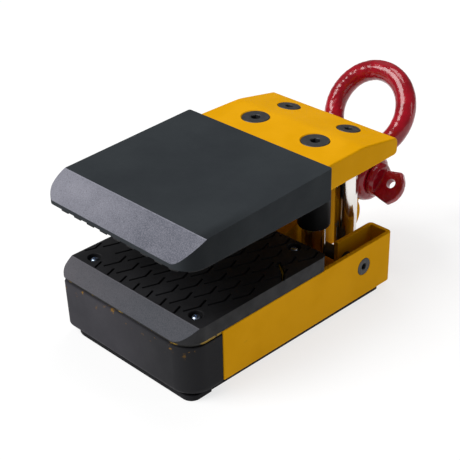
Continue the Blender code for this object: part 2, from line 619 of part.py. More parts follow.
def make_upper_link():
    """A flat tapered link between the head pin and the shackle pin."""
    top = Vector((SHAFT_Y, HEAD_PIN_Z))
    eye = Vector((SHACKLE_PIN_Y, SHACKLE_PIN_Z))
    small = 8.3
    large = 19.0
    heading = math.degrees(math.atan2(eye.y - top.y, eye.x - top.x))
    spread = math.degrees(math.acos((small - large) / (eye - top).length))
    outline = circle_points(top, small, heading + spread, heading + 360.0 - spread, 12)
    outline += circle_points(eye, large, heading - spread, heading + spread, 18)
    half = UPPER_LINK_HALF_WIDTH
    link = add_part("upper_link", extrude(outline, -half, half, "X"), YELLOW, UPPER_LINK)
    for name, point, radius in (("pin", top, HEAD_PIN_RADIUS + BORE_CLEARANCE),
                                ("eye", eye, SHACKLE_PIN_RADIUS + LINK_EYE_CLEARANCE)):
        bore = rod_shape(radius, -10.0, 10.0, (0.0, point.x, point.y), "X")
        boolean(link, add_cutter("upper_link_" + name, bore, UPPER_LINK))


# Shackle --------------------------------------------------------------------------------------

def bow_point(x, height):
    """A point of the bow's plane, which leans back about the shackle pin."""
    return Vector((x, SHACKLE_PIN_Y + height * math.sin(BOW_LEAN), SHACKLE_PIN_Z + height * math.cos(BOW_LEAN)))


def bow_path():
    """Centreline from one ear, out round the bow, to the other ear, as (x, height)."""
    ear_x = (EAR_INNER_X + EAR_OUTER_X) / 2.0
    mouth = Vector((BOW_RADIUS * math.cos(BOW_MOUTH_ANGLE),
                    BOW_CENTRE_HEIGHT + BOW_RADIUS * math.sin(BOW_MOUTH_ANGLE)))
    tangent = Vector((-math.sin(BOW_MOUTH_ANGLE), math.cos(BOW_MOUTH_ANGLE)))
    start = Vector((ear_x, 2.0))
    lead = start + Vector((0.0, 18.0))
    trail = mouth - tangent * 12.0
    leg = []
    for step in range(8):
        t = step / 8.0
        leg.append(start * (1 - t) ** 3 + lead * 3 * t * (1 - t) ** 2
                   + trail * 3 * t * t * (1 - t) + mouth * t ** 3)
    sweep = math.pi - 2.0 * BOW_MOUTH_ANGLE
    arc = []
    for step in range(25):
        angle = BOW_MOUTH_ANGLE + sweep * step / 24.0
        arc.append(Vector((BOW_RADIUS * math.cos(angle), BOW_CENTRE_HEIGHT + BOW_RADIUS * math.sin(angle))))
    mirrored = [Vector((-point.x, point.y)) for point in reversed(leg)]
    return leg + arc + mirrored


def make_shackle_bow():
    across = bow_point(0.0, 0.0) - Vector((0.0, SHACKLE_PIN_Y, SHACKLE_PIN_Z))
    normal = Vector((0.0, math.cos(BOW_LEAN), -math.sin(BOW_LEAN))) + across
    path = [bow_point(point.x, point.y) for point in bow_path()]
    bow = add_part("shackle_bow", swept_tube(path, BOW_STOCK_RADIUS, 16, normal), RED, SHACKLE)
    for side_name, side in SIDES:
        profile = [(0.0, side * EAR_INNER_X), (EAR_RADIUS - 2.0, side * EAR_INNER_X),
                   (EAR_RADIUS, side * (EAR_INNER_X + 2.0)), (EAR_RADIUS, side * (EAR_OUTER_X - 5.0)),
                   (EAR_RADIUS - 4.0, side * EAR_OUTER_X), (0.0, side * EAR_OUTER_X)]
        ear = revolve(profile, (0.0, SHACKLE_PIN_Y, SHACKLE_PIN_Z), "X", 32)
        boolean(bow, add_cutter("ear_" + side_name, ear, SHACKLE), "UNION")
    bore = rod_shape(SHACKLE_PIN_RADIUS + BORE_CLEARANCE, -50.0, 50.0, (0.0, SHACKLE_PIN_Y, SHACKLE_PIN_Z), "X")
    boolean(bow, add_cutter("bow_bore", bore, SHACKLE))


def make_shackle_pin():
    """The screw pin with its collar and the flat eye that a bar turns it by."""
    centre = (0.0, SHACKLE_PIN_Y, SHACKLE_PIN_Z)
    collar_x = EAR_OUTER_X + GAP
    bm = revolve([(0.0, -37.0), (SHACKLE_PIN_RADIUS - 1.0, -37.0), (SHACKLE_PIN_RADIUS, -36.0),
                  (SHACKLE_PIN_RADIUS, collar_x), (PIN_COLLAR_RADIUS, collar_x),
                  (PIN_COLLAR_RADIUS, collar_x + 4.5), (PIN_COLLAR_RADIUS - 4.0, collar_x + 8.0),
                  (0.0, collar_x + 8.0)], centre, "X", 32)
    pin = add_part("shackle_pin", bm, RED, SHACKLE_PIN, smooth=True)
    root_x, wide_x, tip_x = PIN_TAB_X
    root, wide = PIN_TAB_HALF_WIDTH
    outline = rounded([(root_x, -root, 1.0), (wide_x, -wide, 3.0), (tip_x, -5.0, 6.0), (tip_x, 5.0, 6.0),
                       (wide_x, wide, 3.0), (root_x, root, 1.0)])
    tab = extrude(outline, -4.2, 4.2, "Z")
    hole = rod_shape(PIN_EYE[1], -9.0, 9.0, (PIN_EYE[0], 0.0, 0.0), "Z")
    turn = Matrix.Translation(centre) @ Matrix.Rotation(PIN_TAB_ANGLE, 4, "X")
    for shape in (tab, hole):
        bmesh.ops.transform(shape, matrix=turn, verts=shape.verts)
    boolean(pin, add_cutter("pin_tab", tab, SHACKLE_PIN), "UNION")
    boolean(pin, add_cutter("pin_eye", hole, SHACKLE_PIN))


clear_scene()
YELLOW = material("yellow_paint", (0.78, 0.42, 0.012), 0.0, 0.42)
RUBBER = material("black_rubber", (0.035, 0.038, 0.04), 0.0, 0.7)
CHROME = material("chromed_rod", (0.8, 0.8, 0.8), 1.0, 0.12)
BLACK_STEEL = material("black_bolt", (0.05, 0.05, 0.052), 0.6, 0.45)
BRIGHT_STEEL = material("bright_steel", (0.6, 0.62, 0.65), 1.0, 0.3)
RED = material("red_paint", (0.36, 0.004, 0.012), 0.0, 0.3)
CUTTER_FINISH = material("cutter", (0.5, 0.5, 0.5), 0.0, 0.5)

LOWER_BODY = body_frame("lower_body", (0.0, 0.0, 0.0))
UPPER_JAW = body_frame("upper_jaw", (0.0, SHAFT_Y, HEAD_PIN_Z))
LOWER_LINK = body_frame("lower_link_axis", (0.0, SHAFT_Y, SHAFT_Z))
UPPER_LINK = body_frame("upper_link_axis", (0.0, SHAFT_Y, HEAD_PIN_Z))
SHACKLE = body_frame("shackle_axis", (0.0, SHACKLE_PIN_Y, SHACKLE_PIN_Z))
SHACKLE_PIN = body_frame("shackle_pin_axis", (0.0, SHACKLE_PIN_Y, SHACKLE_PIN_Z))

make_top_plate()
make_floor_plate()
make_nose_bumper()
make_sole_sheet()
make_lower_tread_pad()
make_cross_shaft()
for side_label, direction in SIDES:
    make_side_frame(side_label, direction)
    make_rod_base(side_label, direction)
    make_guide_rod("front_" + side_label, direction, FRONT_ROD_Y, FRONT_ROD_RADIUS, FRONT_ROD_TOP_Z,
                   FRONT_BOLT_HEAD_RADIUS, FRONT_BOLT_TOP_Z)
    make_guide_rod("rear_" + side_label, direction, REAR_ROD_Y, REAR_ROD_RADIUS, REAR_ROD_TOP_Z,
                   REAR_BOLT_HEAD_RADIUS, REAR_BOLT_TOP_Z)
    make_side_bolt(side_label, direction)
    make_opening_spring(side_label, direction)
    make_guide_sleeve(side_label, direction)
make_head_block()
make_upper_cover()
make_upper_tread_pad()
make_pad_screws()
make_head_pin()
make_lower_link()
make_upper_link()
make_shackle_bow()
make_shackle_pin()
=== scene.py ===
import json
import math

import bmesh
import bpy
from mathutils import Matrix, Vector, noise


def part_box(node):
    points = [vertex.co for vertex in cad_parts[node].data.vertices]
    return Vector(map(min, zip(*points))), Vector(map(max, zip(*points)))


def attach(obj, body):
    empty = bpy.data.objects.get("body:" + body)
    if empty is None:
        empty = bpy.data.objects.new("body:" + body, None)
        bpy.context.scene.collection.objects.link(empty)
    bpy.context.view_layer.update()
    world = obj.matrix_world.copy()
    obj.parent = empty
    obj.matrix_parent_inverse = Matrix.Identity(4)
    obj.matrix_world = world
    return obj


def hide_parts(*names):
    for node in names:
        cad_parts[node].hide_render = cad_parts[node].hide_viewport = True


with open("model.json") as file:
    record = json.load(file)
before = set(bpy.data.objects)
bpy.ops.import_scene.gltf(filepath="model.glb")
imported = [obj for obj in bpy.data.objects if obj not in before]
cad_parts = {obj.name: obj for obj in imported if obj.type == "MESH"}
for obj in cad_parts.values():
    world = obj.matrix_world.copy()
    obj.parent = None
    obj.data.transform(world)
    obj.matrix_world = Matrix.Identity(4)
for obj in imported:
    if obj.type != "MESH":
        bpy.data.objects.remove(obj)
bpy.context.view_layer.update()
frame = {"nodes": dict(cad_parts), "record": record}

# Shapes are in millimetres; materials, lights and names that end in _M are in metres.
MM = 0.001
SIDES = (("left", -1.0), ("right", 1.0))
CLEARANCE = 0.3
SHAFT_Y, SHAFT_Z = 43.7, 34.7
PIN_Y, PIN_Z = 108.5, 79.0
HEAD_PIN_Z = 134.0
REAR_TILT = math.radians(-8.8)


# Shapes --------------------------------------------------

def extent(node):
    """Lowest and highest corner of a CAD node, in millimetres."""
    low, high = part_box(node)
    return low / MM, high / MM


def middle(node, z=0.0):
    """The middle of a CAD node as seen from above, at a height."""
    low, high = extent(node)
    return Vector(((low.x + high.x) / 2.0, (low.y + high.y) / 2.0, z))


def rounded(corners, steps=8):
    """An outline through (u, v, radius) corners, each rounded by its radius."""
    outline = []
    count = len(corners)
    for index, (u, v, radius) in enumerate(corners):
        here = Vector((u, v))
        if radius == 0.0:
            outline.append((u, v))
            continue
        before = (Vector(corners[index - 1][:2]) - here).normalized()
        after = (Vector(corners[(index + 1) % count][:2]) - here).normalized()
        half = before.angle(after) / 2.0
        centre = here + (before + after).normalized() * (radius / math.sin(half))
        start = here + before * (radius / math.tan(half)) - centre
        end = here + after * (radius / math.tan(half)) - centre
        turn = math.atan2(start.x * end.y - start.y * end.x, start.dot(end))
        for step in range(steps + 1):
            angle = turn * step / steps
            x = start.x * math.cos(angle) - start.y * math.sin(angle)
            y = start.x * math.sin(angle) + start.y * math.cos(angle)
            outline.append((centre.x + x, centre.y + y))
    return outline


def arc(centre, radius, start_degrees, end_degrees, steps):
    points = []
    for step in range(steps + 1):
        angle = math.radians(start_degrees + (end_degrees - start_degrees) * step / steps)
        points.append((centre[0] + radius * math.cos(angle), centre[1] + radius * math.sin(angle)))
    return points


def join_rings(bm, lower, upper):
    count = max(len(lower), len(upper))
    for index in range(count):
        follow = (index + 1) % count
        corners = [lower[index % len(lower)], lower[follow % len(lower)],
                   upper[follow % len(upper)], upper[index % len(upper)]]
        face = list(dict.fromkeys(corners))
        if len(face) > 2:
            bm.faces.new(face)


def loft(rings, bm=None):
    """A solid through rings of points, closed by flat caps."""
    bm = bm or bmesh.new()
    made = [[bm.verts.new(point) for point in ring] for ring in rings]
    for lower, upper in zip(made, made[1:]):
        join_rings(bm, lower, upper)
    for ring in (made[0], made[-1]):
        if len(ring) > 2:
            bm.faces.new(ring)
    return bm


def prism(outline, low, high, axis, bm=None):
    """An outline in (y, z) extruded along X, or in (x, y) extruded along Z."""
    place = {"X": lambda u, v, w: (w, u, v), "Z": lambda u, v, w: (u, v, w)}[axis]
    return loft([[place(u, v, level) for u, v in outline] for level in (low, high)], bm)


def turned(profile, centre, axis, segments=64, bm=None):
    """A turned solid: profile is (radius, height) pairs; a zero radius closes an end, else it is a ring."""
    rings = []
    for radius, height in profile:
        ring = []
        for index in range(1 if radius == 0.0 else segments):
            angle = 2.0 * math.pi * index / segments
            u, v = radius * math.cos(angle), radius * math.sin(angle)
            local = {"X": (height, u, v), "Z": (u, v, height)}[axis]
            ring.append(Vector(local) + Vector(centre))
        rings.append(ring)
    if profile[0][0] == 0.0:
        return loft(rings, bm)
    bm = bm or bmesh.new()
    made = [[bm.verts.new(point) for point in ring] for ring in rings]
    for lower, upper in zip(made, made[1:] + [made[0]]):
        join_rings(bm, lower, upper)
    return bm


def tube(path, radius, sides, up):
    """A round bar along a path of points."""
    rings = []
    for index, point in enumerate(path):
        along = (path[min(index + 1, len(path) - 1)] - path[max(index - 1, 0)]).normalized()
        side = along.cross(up).normalized()
        over = side.cross(along)
        rings.append([point + side * radius * math.cos(2.0 * math.pi * step / sides)
                      + over * radius * math.sin(2.0 * math.pi * step / sides) for step in range(sides)])
    return loft(rings)


def cut_by_plane(bm, point, normal):
    """Keep the side of the solid that the normal points away from."""
    geometry = list(bm.verts) + list(bm.edges) + list(bm.faces)
    cut = bmesh.ops.bisect_plane(bm, geom=geometry, plane_co=point, plane_no=normal, clear_outer=True)
    edges = [item for item in cut["geom_cut"] if isinstance(item, bmesh.types.BMEdge)]
    bmesh.ops.holes_fill(bm, edges=edges, sides=0)


def soften(bm, width, segments=3, degrees=25.0):
    """Round every edge sharper than the angle."""
    bmesh.ops.remove_doubles(bm, verts=bm.verts, dist=0.01)
    bmesh.ops.recalc_face_normals(bm, faces=bm.faces)
    edges = [edge for edge in bm.edges if len(edge.link_faces) == 2
             and edge.calc_face_angle() > math.radians(degrees)]
    bmesh.ops.bevel(bm, geom=edges, offset=width, segments=segments, profile=0.5, affect="EDGES",
                    clamp_overlap=True)
    return bm


def mesh_object(name, bm):
    bmesh.ops.recalc_face_normals(bm, faces=bm.faces)
    bmesh.ops.transform(bm, matrix=Matrix.Scale(MM, 4), verts=bm.verts)
    mesh = bpy.data.meshes.new(name)
    bm.to_mesh(mesh)
    bm.free()
    made = bpy.data.objects.new(name, mesh)
    bpy.context.collection.objects.link(made)
    return made


def bake_modifiers(made):
    """Replace the mesh by what its modifiers make of it."""
    bpy.context.view_layer.update()
    evaluated = made.evaluated_get(bpy.context.evaluated_depsgraph_get())
    mesh = bpy.data.meshes.new_from_object(evaluated)
    made.modifiers.clear()
    made.data = mesh


def taken_back(made):
    """An object's baked mesh as a bmesh in millimetres, in place of the object."""
    bake_modifiers(made)
    bm = bmesh.new()
    bm.from_mesh(made.data)
    bmesh.ops.transform(bm, matrix=Matrix.Scale(1.0 / MM, 4), verts=bm.verts)
    bpy.data.objects.remove(made)
    return bm


def subtract(made, *shapes):
    """Cut solids, given in millimetres, out of a finished object."""
    cutters = [mesh_object("cutter", bm) for bm in shapes]
    for cutter in cutters:
        modifier = made.modifiers.new("cut", "BOOLEAN")
        modifier.object = cutter
        modifier.operation = "DIFFERENCE"
        modifier.solver = "EXACT"
    bake_modifiers(made)
    for cutter in cutters:
        bpy.data.objects.remove(cutter)


def piece(name, bm, finish, body, replaces, cutters=(), sharp=32.0):
    """A finished piece: cut, shaded, coloured, and riding on its body in place of CAD nodes."""
    made = mesh_object(name, bm)
    if cutters:
        subtract(made, *cutters)
    made.data.materials.clear()
    made.data.materials.append(finish)
    made.data.shade_smooth()
    made.data.set_sharp_from_angle(angle=math.radians(sharp))
    weighted = made.modifiers.new("weighted", "WEIGHTED_NORMAL")
    weighted.keep_sharp = True
    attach(made, body)
    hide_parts(*replaces)
    return made


# Materials -----------------------------------------------

class Finish:
    """A Principled material with a few procedural layers."""

    def __init__(self, name, roughness, metallic=0.0, specular=0.5):
        self.material = bpy.data.materials.new(name)
        self.material.use_nodes = True
        self.tree = self.material.node_tree
        self.shader = self.tree.nodes["Principled BSDF"]
        self.shader.inputs["Roughness"].default_value = roughness
        self.shader.inputs["Metallic"].default_value = metallic
        self.shader.inputs["Specular IOR Level"].default_value = specular
        self.coordinates = self.tree.nodes.new("ShaderNodeTexCoord").outputs["Object"]

    def noise(self, scale, detail=3.0, roughness=0.5, stretch=None):
        node = self.tree.nodes.new("ShaderNodeTexNoise")
        node.inputs["Scale"].default_value = scale
        node.inputs["Detail"].default_value = detail
        node.inputs["Roughness"].default_value = roughness
        source = self.coordinates
        if stretch:
            mapping = self.tree.nodes.new("ShaderNodeMapping")
            mapping.inputs["Scale"].default_value = stretch
            self.tree.links.new(source, mapping.inputs["Vector"])
            source = mapping.outputs["Vector"]
        self.tree.links.new(source, node.inputs["Vector"])
        return node.outputs["Fac"]

    def cells(self, scale, feature="F1"):
        node = self.tree.nodes.new("ShaderNodeTexVoronoi")
        node.feature = feature
        node.inputs["Scale"].default_value = scale
        self.tree.links.new(self.coordinates, node.inputs["Vector"])
        return node.outputs["Distance"]

    def axis(self, index):
        node = self.tree.nodes.new("ShaderNodeSeparateXYZ")
        self.tree.links.new(self.coordinates, node.inputs["Vector"])
        return node.outputs[index]

    def spread(self, value, low, high, to_low=0.0, to_high=1.0):
        node = self.tree.nodes.new("ShaderNodeMapRange")
        node.interpolation_type = "SMOOTHSTEP"
        self.tree.links.new(value, node.inputs["Value"])
        for key, number in (("From Min", low), ("From Max", high), ("To Min", to_low), ("To Max", to_high)):
            node.inputs[key].default_value = number
        return node.outputs["Result"]

    def maths(self, operation, first, second):
        node = self.tree.nodes.new("ShaderNodeMath")
        node.operation = operation
        for socket, value in zip(node.inputs, (first, second)):
            if isinstance(value, float):
                socket.default_value = value
            else:
                self.tree.links.new(value, socket)
        return node.outputs["Value"]

    def blend(self, factor, first, second):
        node = self.tree.nodes.new("ShaderNodeMix")
        node.data_type = "RGBA"
        self.tree.links.new(factor, node.inputs["Factor"])
        for socket, value in zip(node.inputs[6:8], (first, second)):
            if isinstance(value, tuple):
                socket.default_value = (*value, 1.0)
            else:
                self.tree.links.new(value, socket)
        return node.outputs[2]

    def colour(self, output):
        self.tree.links.new(output, self.shader.inputs["Base Color"])

    def gloss(self, output):
        self.tree.links.new(output, self.shader.inputs["Roughness"])

    def uneven_gloss(self, scale, detail, low, high):
        self.gloss(self.spread(self.noise(scale, detail), 0.3, 0.7, low, high))

    def bump(self, height, distance, strength=1.0, below=None):
        node = self.tree.nodes.new("ShaderNodeBump")
        node.inputs["Strength"].default_value = strength
        node.inputs["Distance"].default_value = distance
        self.tree.links.new(height, node.inputs["Height"])
        if below is not None:
            self.tree.links.new(below, node.inputs["Normal"])
        self.tree.links.new(node.outputs["Normal"], self.shader.inputs["Normal"])
        return node.outputs["Normal"]


def powder_coat():
    made = Finish("yellow_powder_coat", 0.42, specular=0.01)
    broad = made.spread(made.noise(22.0, 3.0), 0.35, 0.65)
    base = made.blend(broad, (0.665, 0.312, 0.002), (0.715, 0.342, 0.005))
    scuff = made.spread(made.noise(160.0, 4.0, 0.6, (1.0, 0.35, 1.0)), 0.64, 0.76)
    made.colour(made.blend(made.maths("MULTIPLY", scuff, 0.25), base, (0.45, 0.24, 0.02)))
    made.uneven_gloss(60.0, 4.0, 0.36, 0.48)
    peel = made.bump(made.noise(620.0, 2.0), 0.00012, 0.5)
    made.bump(made.noise(45.0, 2.0), 0.0004, 0.35, peel)
    return made.material


def gap_paint():
    """The plate edge seen in the gap under the lower pad: yellow, mostly painted near-black as the shade of
    the gap.
    """
    made = Finish("yellow_in_painted_gap_shade", 0.6)
    patches = made.noise(95.0, 4.0, 0.6)
    front = made.spread(made.axis("Y"), -0.150, -0.132, 0.0, 0.22)
    clear = made.spread(made.maths("ADD", patches, front), 0.55, 0.64)
    # Painted shade: near-black stands for the shade in the gap; only the patches show the plate's yellow.
    made.colour(made.blend(clear, (0.010, 0.010, 0.008), (0.33, 0.20, 0.01)))
    made.bump(made.noise(500.0, 3.0), 0.0003, 0.6)
    return made.material


def moulded_rubber(name, dark, light, roughness=0.62):
    """Matt moulded rubber with flow patches, dust and a fine grain, with painted shade darkening the right
    flank towards the front.
    """
    made = Finish(name, roughness, specular=0.045)
    patches = made.spread(made.noise(18.0, 4.0, 0.55), 0.3, 0.7)
    base = made.blend(patches, dark, light)
    # Painted shade: the right side goes darker towards the front, where less light reaches it.
    right_side = made.spread(made.axis("X"), 0.068, 0.0785)
    painted_shade_flank = made.maths("MULTIPLY", right_side, made.spread(made.axis("Y"), -0.06, -0.14))
    base = made.blend(made.maths("MULTIPLY", painted_shade_flank, 0.6), base, tuple(0.4 * c for c in dark))
    dust = made.spread(made.noise(900.0, 3.0, 0.7), 0.66, 0.8)
    made.colour(made.blend(made.maths("MULTIPLY", dust, 0.22), base, tuple(3.0 * c for c in light)))
    made.uneven_gloss(70.0, 3.0, roughness - 0.08, roughness + 0.08)
    fine = made.bump(made.noise(1500.0, 2.0), 0.00012, 0.45)
    made.bump(made.noise(140.0, 3.0), 0.0002, 0.35, fine)
    return made.material


def blasted_rubber(name, dark, light, speckle, crease_y):
    """The ground-back bevel of a jaw: grey and speckled, with a painted sheen that makes it palest at its
    left end and a painted highlight along its crease.
    """
    made = Finish(name, 0.6, specular=0.15)
    # Painted sheen: the bevel is lightened towards its left end, as if lit from the left.
    across = made.spread(made.axis("X"), -0.085, 0.05, 0.75, -0.1)
    patches = made.spread(made.noise(55.0, 5.0, 0.62), 0.32, 0.68, 0.0, 0.3)
    base = made.blend(made.maths("ADD", across, patches), dark, light)
    grains = made.spread(made.noise(1100.0, 4.0, 0.75), 0.36, 0.66)
    base = made.blend(made.maths("MULTIPLY", grains, speckle), base, tuple(1.7 * c for c in light))
    # Painted highlight: a pale line along the crease edge.
    painted_crease_highlight = made.spread(made.axis("Y"), crease_y - 0.0012, crease_y - 0.0002, 0.0, 0.45)
    base = made.blend(painted_crease_highlight, base, tuple(1.5 * c for c in light))
    pits = made.spread(made.cells(330.0), 0.0, 0.28, 1.0, 0.0)
    made.colour(made.blend(made.maths("MULTIPLY", pits, 0.4), base, tuple(0.45 * c for c in dark)))
    rough = made.bump(made.noise(1300.0, 4.0, 0.7), 0.0003, 0.7)
    made.bump(made.noise(240.0, 4.0, 0.6), 0.0003, 0.5, rough)
    return made.material


def nose_rubber():
    """Nose bumper: moulded rubber with painted shade darkening it to the right, and traces of yellow along
    its top edge.
    """
    made = Finish("nose_rubber", 0.55, specular=0.03)
    patches = made.spread(made.noise(16.0, 4.0, 0.55), 0.3, 0.7)
    base = made.blend(patches, (0.040, 0.039, 0.045), (0.050, 0.048, 0.055))
    # Painted shade: the nose goes darker towards its right side and corner.
    painted_shade_right = made.spread(made.axis("X"), -0.03, 0.068)
    base = made.blend(painted_shade_right, base, (0.021, 0.021, 0.023))
    near_top = made.spread(made.axis("Z"), 0.038, 0.0505)
    specks = made.spread(made.noise(150.0, 5.0, 0.65), 0.60, 0.68)
    trace = made.maths("MULTIPLY", specks, near_top)
    made.colour(made.blend(made.maths("MULTIPLY", trace, 0.75), base, (0.28, 0.14, 0.012)))
    made.uneven_gloss(60.0, 3.0, 0.44, 0.6)
    fine = made.bump(made.noise(1200.0, 2.0), 0.0001, 0.35)
    made.bump(made.noise(55.0, 3.0), 0.0008, 0.4, fine)
    return made.material


def tread_rubber():
    """Tread of the lower pad, with a few traces of yellow paint."""
    made = Finish("tread_rubber", 0.6, specular=0.2)
    patches = made.spread(made.noise(24.0, 4.0, 0.55), 0.3, 0.7)
    base = made.blend(patches, (0.010, 0.010, 0.011), (0.018, 0.018, 0.020))
    specks = made.spread(made.noise(85.0, 5.0, 0.7), 0.68, 0.74)
    front = made.spread(made.axis("Y"), -0.128, -0.142)
    trace = made.maths("MULTIPLY", specks, front)
    made.colour(made.blend(made.maths("MULTIPLY", trace, 0.6), base, (0.30, 0.20, 0.02)))
    made.uneven_gloss(90.0, 3.0, 0.5, 0.68)
    fine = made.bump(made.noise(1400.0, 2.0), 0.00012, 0.4)
    made.bump(made.noise(160.0, 3.0), 0.0003, 0.4, fine)
    return made.material


def hard_chrome():
    made = Finish("hard_chrome", 0.12, 1.0)
    broad = made.spread(made.noise(30.0, 3.0), 0.3, 0.7)
    made.colour(made.blend(broad, (0.74, 0.72, 0.68), (0.82, 0.80, 0.77)))
    made.gloss(made.spread(made.noise(400.0, 4.0, 0.6, (1.0, 1.0, 0.05)), 0.35, 0.7, 0.07, 0.2))
    made.bump(made.noise(300.0, 3.0, 0.5, (0.3, 0.3, 6.0)), 0.00003, 0.3)
    return made.material


def black_oxide():
    made = Finish("black_oxide", 0.5, 0.15)
    wear = made.spread(made.noise(260.0, 4.0, 0.6), 0.35, 0.7)
    made.colour(made.blend(wear, (0.024, 0.024, 0.025), (0.038, 0.038, 0.039)))
    made.uneven_gloss(500.0, 3.0, 0.42, 0.58)
    made.bump(made.noise(1500.0, 2.0), 0.00008, 0.4)
    return made.material


def zinc_plate():
    made = Finish("zinc_plate", 0.32, 1.0)
    wear = made.spread(made.noise(500.0, 3.0), 0.3, 0.7)
    made.colour(made.blend(wear, (0.20, 0.25, 0.34), (0.36, 0.42, 0.52)))
    made.uneven_gloss(700.0, 3.0, 0.25, 0.42)
    made.bump(made.noise(900.0, 2.0), 0.00005, 0.3)
    return made.material


def lumpy_red():
    """Thick glossy paint with runs and lumps."""
    made = Finish("red_enamel", 0.22, specular=0.2)
    made.shader.inputs["Coat Weight"].default_value = 0.6
    made.shader.inputs["Coat Roughness"].default_value = 0.045
    broad = made.spread(made.noise(60.0, 4.0), 0.3, 0.7)
    made.colour(made.blend(broad, (0.22, 0.001, 0.007), (0.34, 0.002, 0.012)))
    lumps = made.bump(made.spread(made.cells(260.0, "SMOOTH_F1"), 0.0, 0.7, 1.0, 0.0), 0.0004, 0.35)
    made.bump(made.noise(230.0, 3.0, 0.55), 0.0008, 0.6, lumps)
    return made.material


def bare_yellow_strip():
    made = Finish("bare_yellow_strip", 0.45)
    patches = made.spread(made.noise(300.0, 3.0), 0.35, 0.65)
    made.colour(made.blend(patches, (0.62, 0.36, 0.01), (0.85, 0.52, 0.02)))
    made.bump(made.noise(700.0, 2.0), 0.0001, 0.3)
    return made.material


YELLOW = powder_coat()
GAP_SHADE_YELLOW = gap_paint()
COVER = moulded_rubber("cover_rubber", (0.026, 0.030, 0.034), (0.032, 0.037, 0.041), 0.6)
SOLE = moulded_rubber("sole_rubber", (0.010, 0.010, 0.011), (0.016, 0.016, 0.018), 0.66)
SLEEVE = moulded_rubber("sleeve_rubber", (0.0045, 0.0045, 0.005), (0.007, 0.007, 0.008), 0.42)
BEVEL_GREY = blasted_rubber("blasted_grey", (0.082, 0.086, 0.108), (0.205, 0.205, 0.24), 0.4, -0.142)
BEVEL_DARK = blasted_rubber("blasted_dark", (0.052, 0.056, 0.066), (0.080, 0.077, 0.087), 0.35, -0.1473)
NOSE = nose_rubber()
TREAD = tread_rubber()
CHROME = hard_chrome()
BLACK = black_oxide()
ZINC = zinc_plate()
RED = lumpy_red()
STRIP = bare_yellow_strip()


# Camera, light and floor ---------------------------------

CAMERA_PLACE_M = (0.60106, -0.62680, 0.56927)
LENS_MM, SENSOR_MM = 91.98, 36.0
FLOOR_DROP_M = 0.0002
FLOOR_HALF_WIDTH = 6000.0


def make_camera():
    """The camera looks down on the clamp's front right corner, rolled very slightly."""
    azimuth, elevation, roll = math.radians(45.7), math.radians(30.42), math.radians(-1.3)
    forward = Vector((-math.sin(azimuth) * math.cos(elevation), math.cos(azimuth) * math.cos(elevation),
                      -math.sin(elevation)))
    right = Vector((math.cos(azimuth), math.sin(azimuth), 0.0))
    up = right.cross(forward)
    across = right * math.cos(roll) + up * math.sin(roll)
    above = up * math.cos(roll) - right * math.sin(roll)
    data = bpy.data.cameras.new("camera")
    data.lens = LENS_MM
    data.sensor_width = SENSOR_MM
    camera = bpy.data.objects.new("camera", data)
    place = Matrix((across, above, -forward)).transposed().to_4x4()
    place.translation = Vector(CAMERA_PLACE_M)
    camera.matrix_world = place
    bpy.context.collection.objects.link(camera)
    bpy.context.scene.camera = camera


def make_light(name, kind, energy, place, direction):
    """A light at a place in metres; direction points from the clamp to the light."""
    data = bpy.data.lights.new(name, kind)
    data.energy = energy
    lamp = bpy.data.objects.new(name, data)
    lamp.location = place
    lamp.rotation_euler = Vector(direction).to_track_quat("Z", "Y").to_euler()
    bpy.context.collection.objects.link(lamp)
    return data


def area_light(name, place, target, size, watts):
    data = make_light(name, "AREA", watts, place, Vector(place) - Vector(target))
    data.shape = "RECTANGLE"
    data.size, data.size_y = size


def make_stage():
    world = bpy.data.worlds.new("studio")
    world.use_nodes = True
    world.node_tree.nodes["Background"].inputs["Color"].default_value = (1.0, 1.0, 1.0, 1.0)
    world.node_tree.nodes["Background"].inputs["Strength"].default_value = 0.16
    bpy.context.scene.world = world
    bpy.context.scene.view_settings.view_transform = "Standard"
    key = make_light("key", "SUN", 2.9, (0.0, 0.0, 0.0), (-0.34, -0.58, 0.74))
    key.angle = math.radians(38.0)
    area_light("top", (-0.15, 0.25, 1.2), (0.0, 0.0, 0.1), (0.5, 0.5), 4.0)
    area_light("side", (0.95, 0.55, 0.45), (0.0, 0.1, 0.1), (0.2, 0.6), 0.9)
    floor = Finish("floor_white", 0.9, specular=0.0)
    floor.colour(floor.blend(floor.noise(3.0), (0.28, 0.28, 0.28), (0.30, 0.30, 0.30)))
    floor.shader.inputs["Emission Color"].default_value = (1.0, 1.0, 1.0, 1.0)
    floor.shader.inputs["Emission Strength"].default_value = 0.74
    bm = bmesh.new()
    bmesh.ops.create_grid(bm, x_segments=1, y_segments=1, size=FLOOR_HALF_WIDTH)
    ground = mesh_object("floor", bm)
    ground.location.z = -FLOOR_DROP_M
    ground.data.materials.append(floor.material)


# Rubber pads ---------------------------------------------

STROKE_PITCH = 15.6
ROW_STEP = Vector((7.8, 18.7))
GROOVE_WIDTHS = (2.1, 1.3)
SHORTEST_GROOVE = 2.5
SCREW_LAND_RADIUS = 8.2
LEFT_CORNER_RADIUS, RIGHT_CORNER_RADIUS = 7.0, 19.0
SCREW_BORE, RECESS_RADIUS = 2.4, 5.6


def groove(bm, points, top_width, bottom_width, top_z, bottom_z):
    """One tapered groove cutter along a line of points."""
    def outline(width):
        left, right = [], []
        for index, point in enumerate(points):
            before = (point - points[max(index - 1, 0)])
            after = (points[min(index + 1, len(points) - 1)] - point)
            lead = before.normalized() if before.length else after.normalized()
            trail = after.normalized() if after.length else before.normalized()
            normal = Vector((-lead.y - trail.y, lead.x + trail.x)).normalized()
            reach = width / 2.0 / max(normal.dot(Vector((-lead.y, lead.x))), 0.3)
            left.append(point + normal * reach)
            right.append(point - normal * reach)
        return left + right[::-1]
    loft([[(p.x, p.y, top_z) for p in outline(top_width)],
          [(p.x, p.y, bottom_z) for p in outline(bottom_width)]], bm)


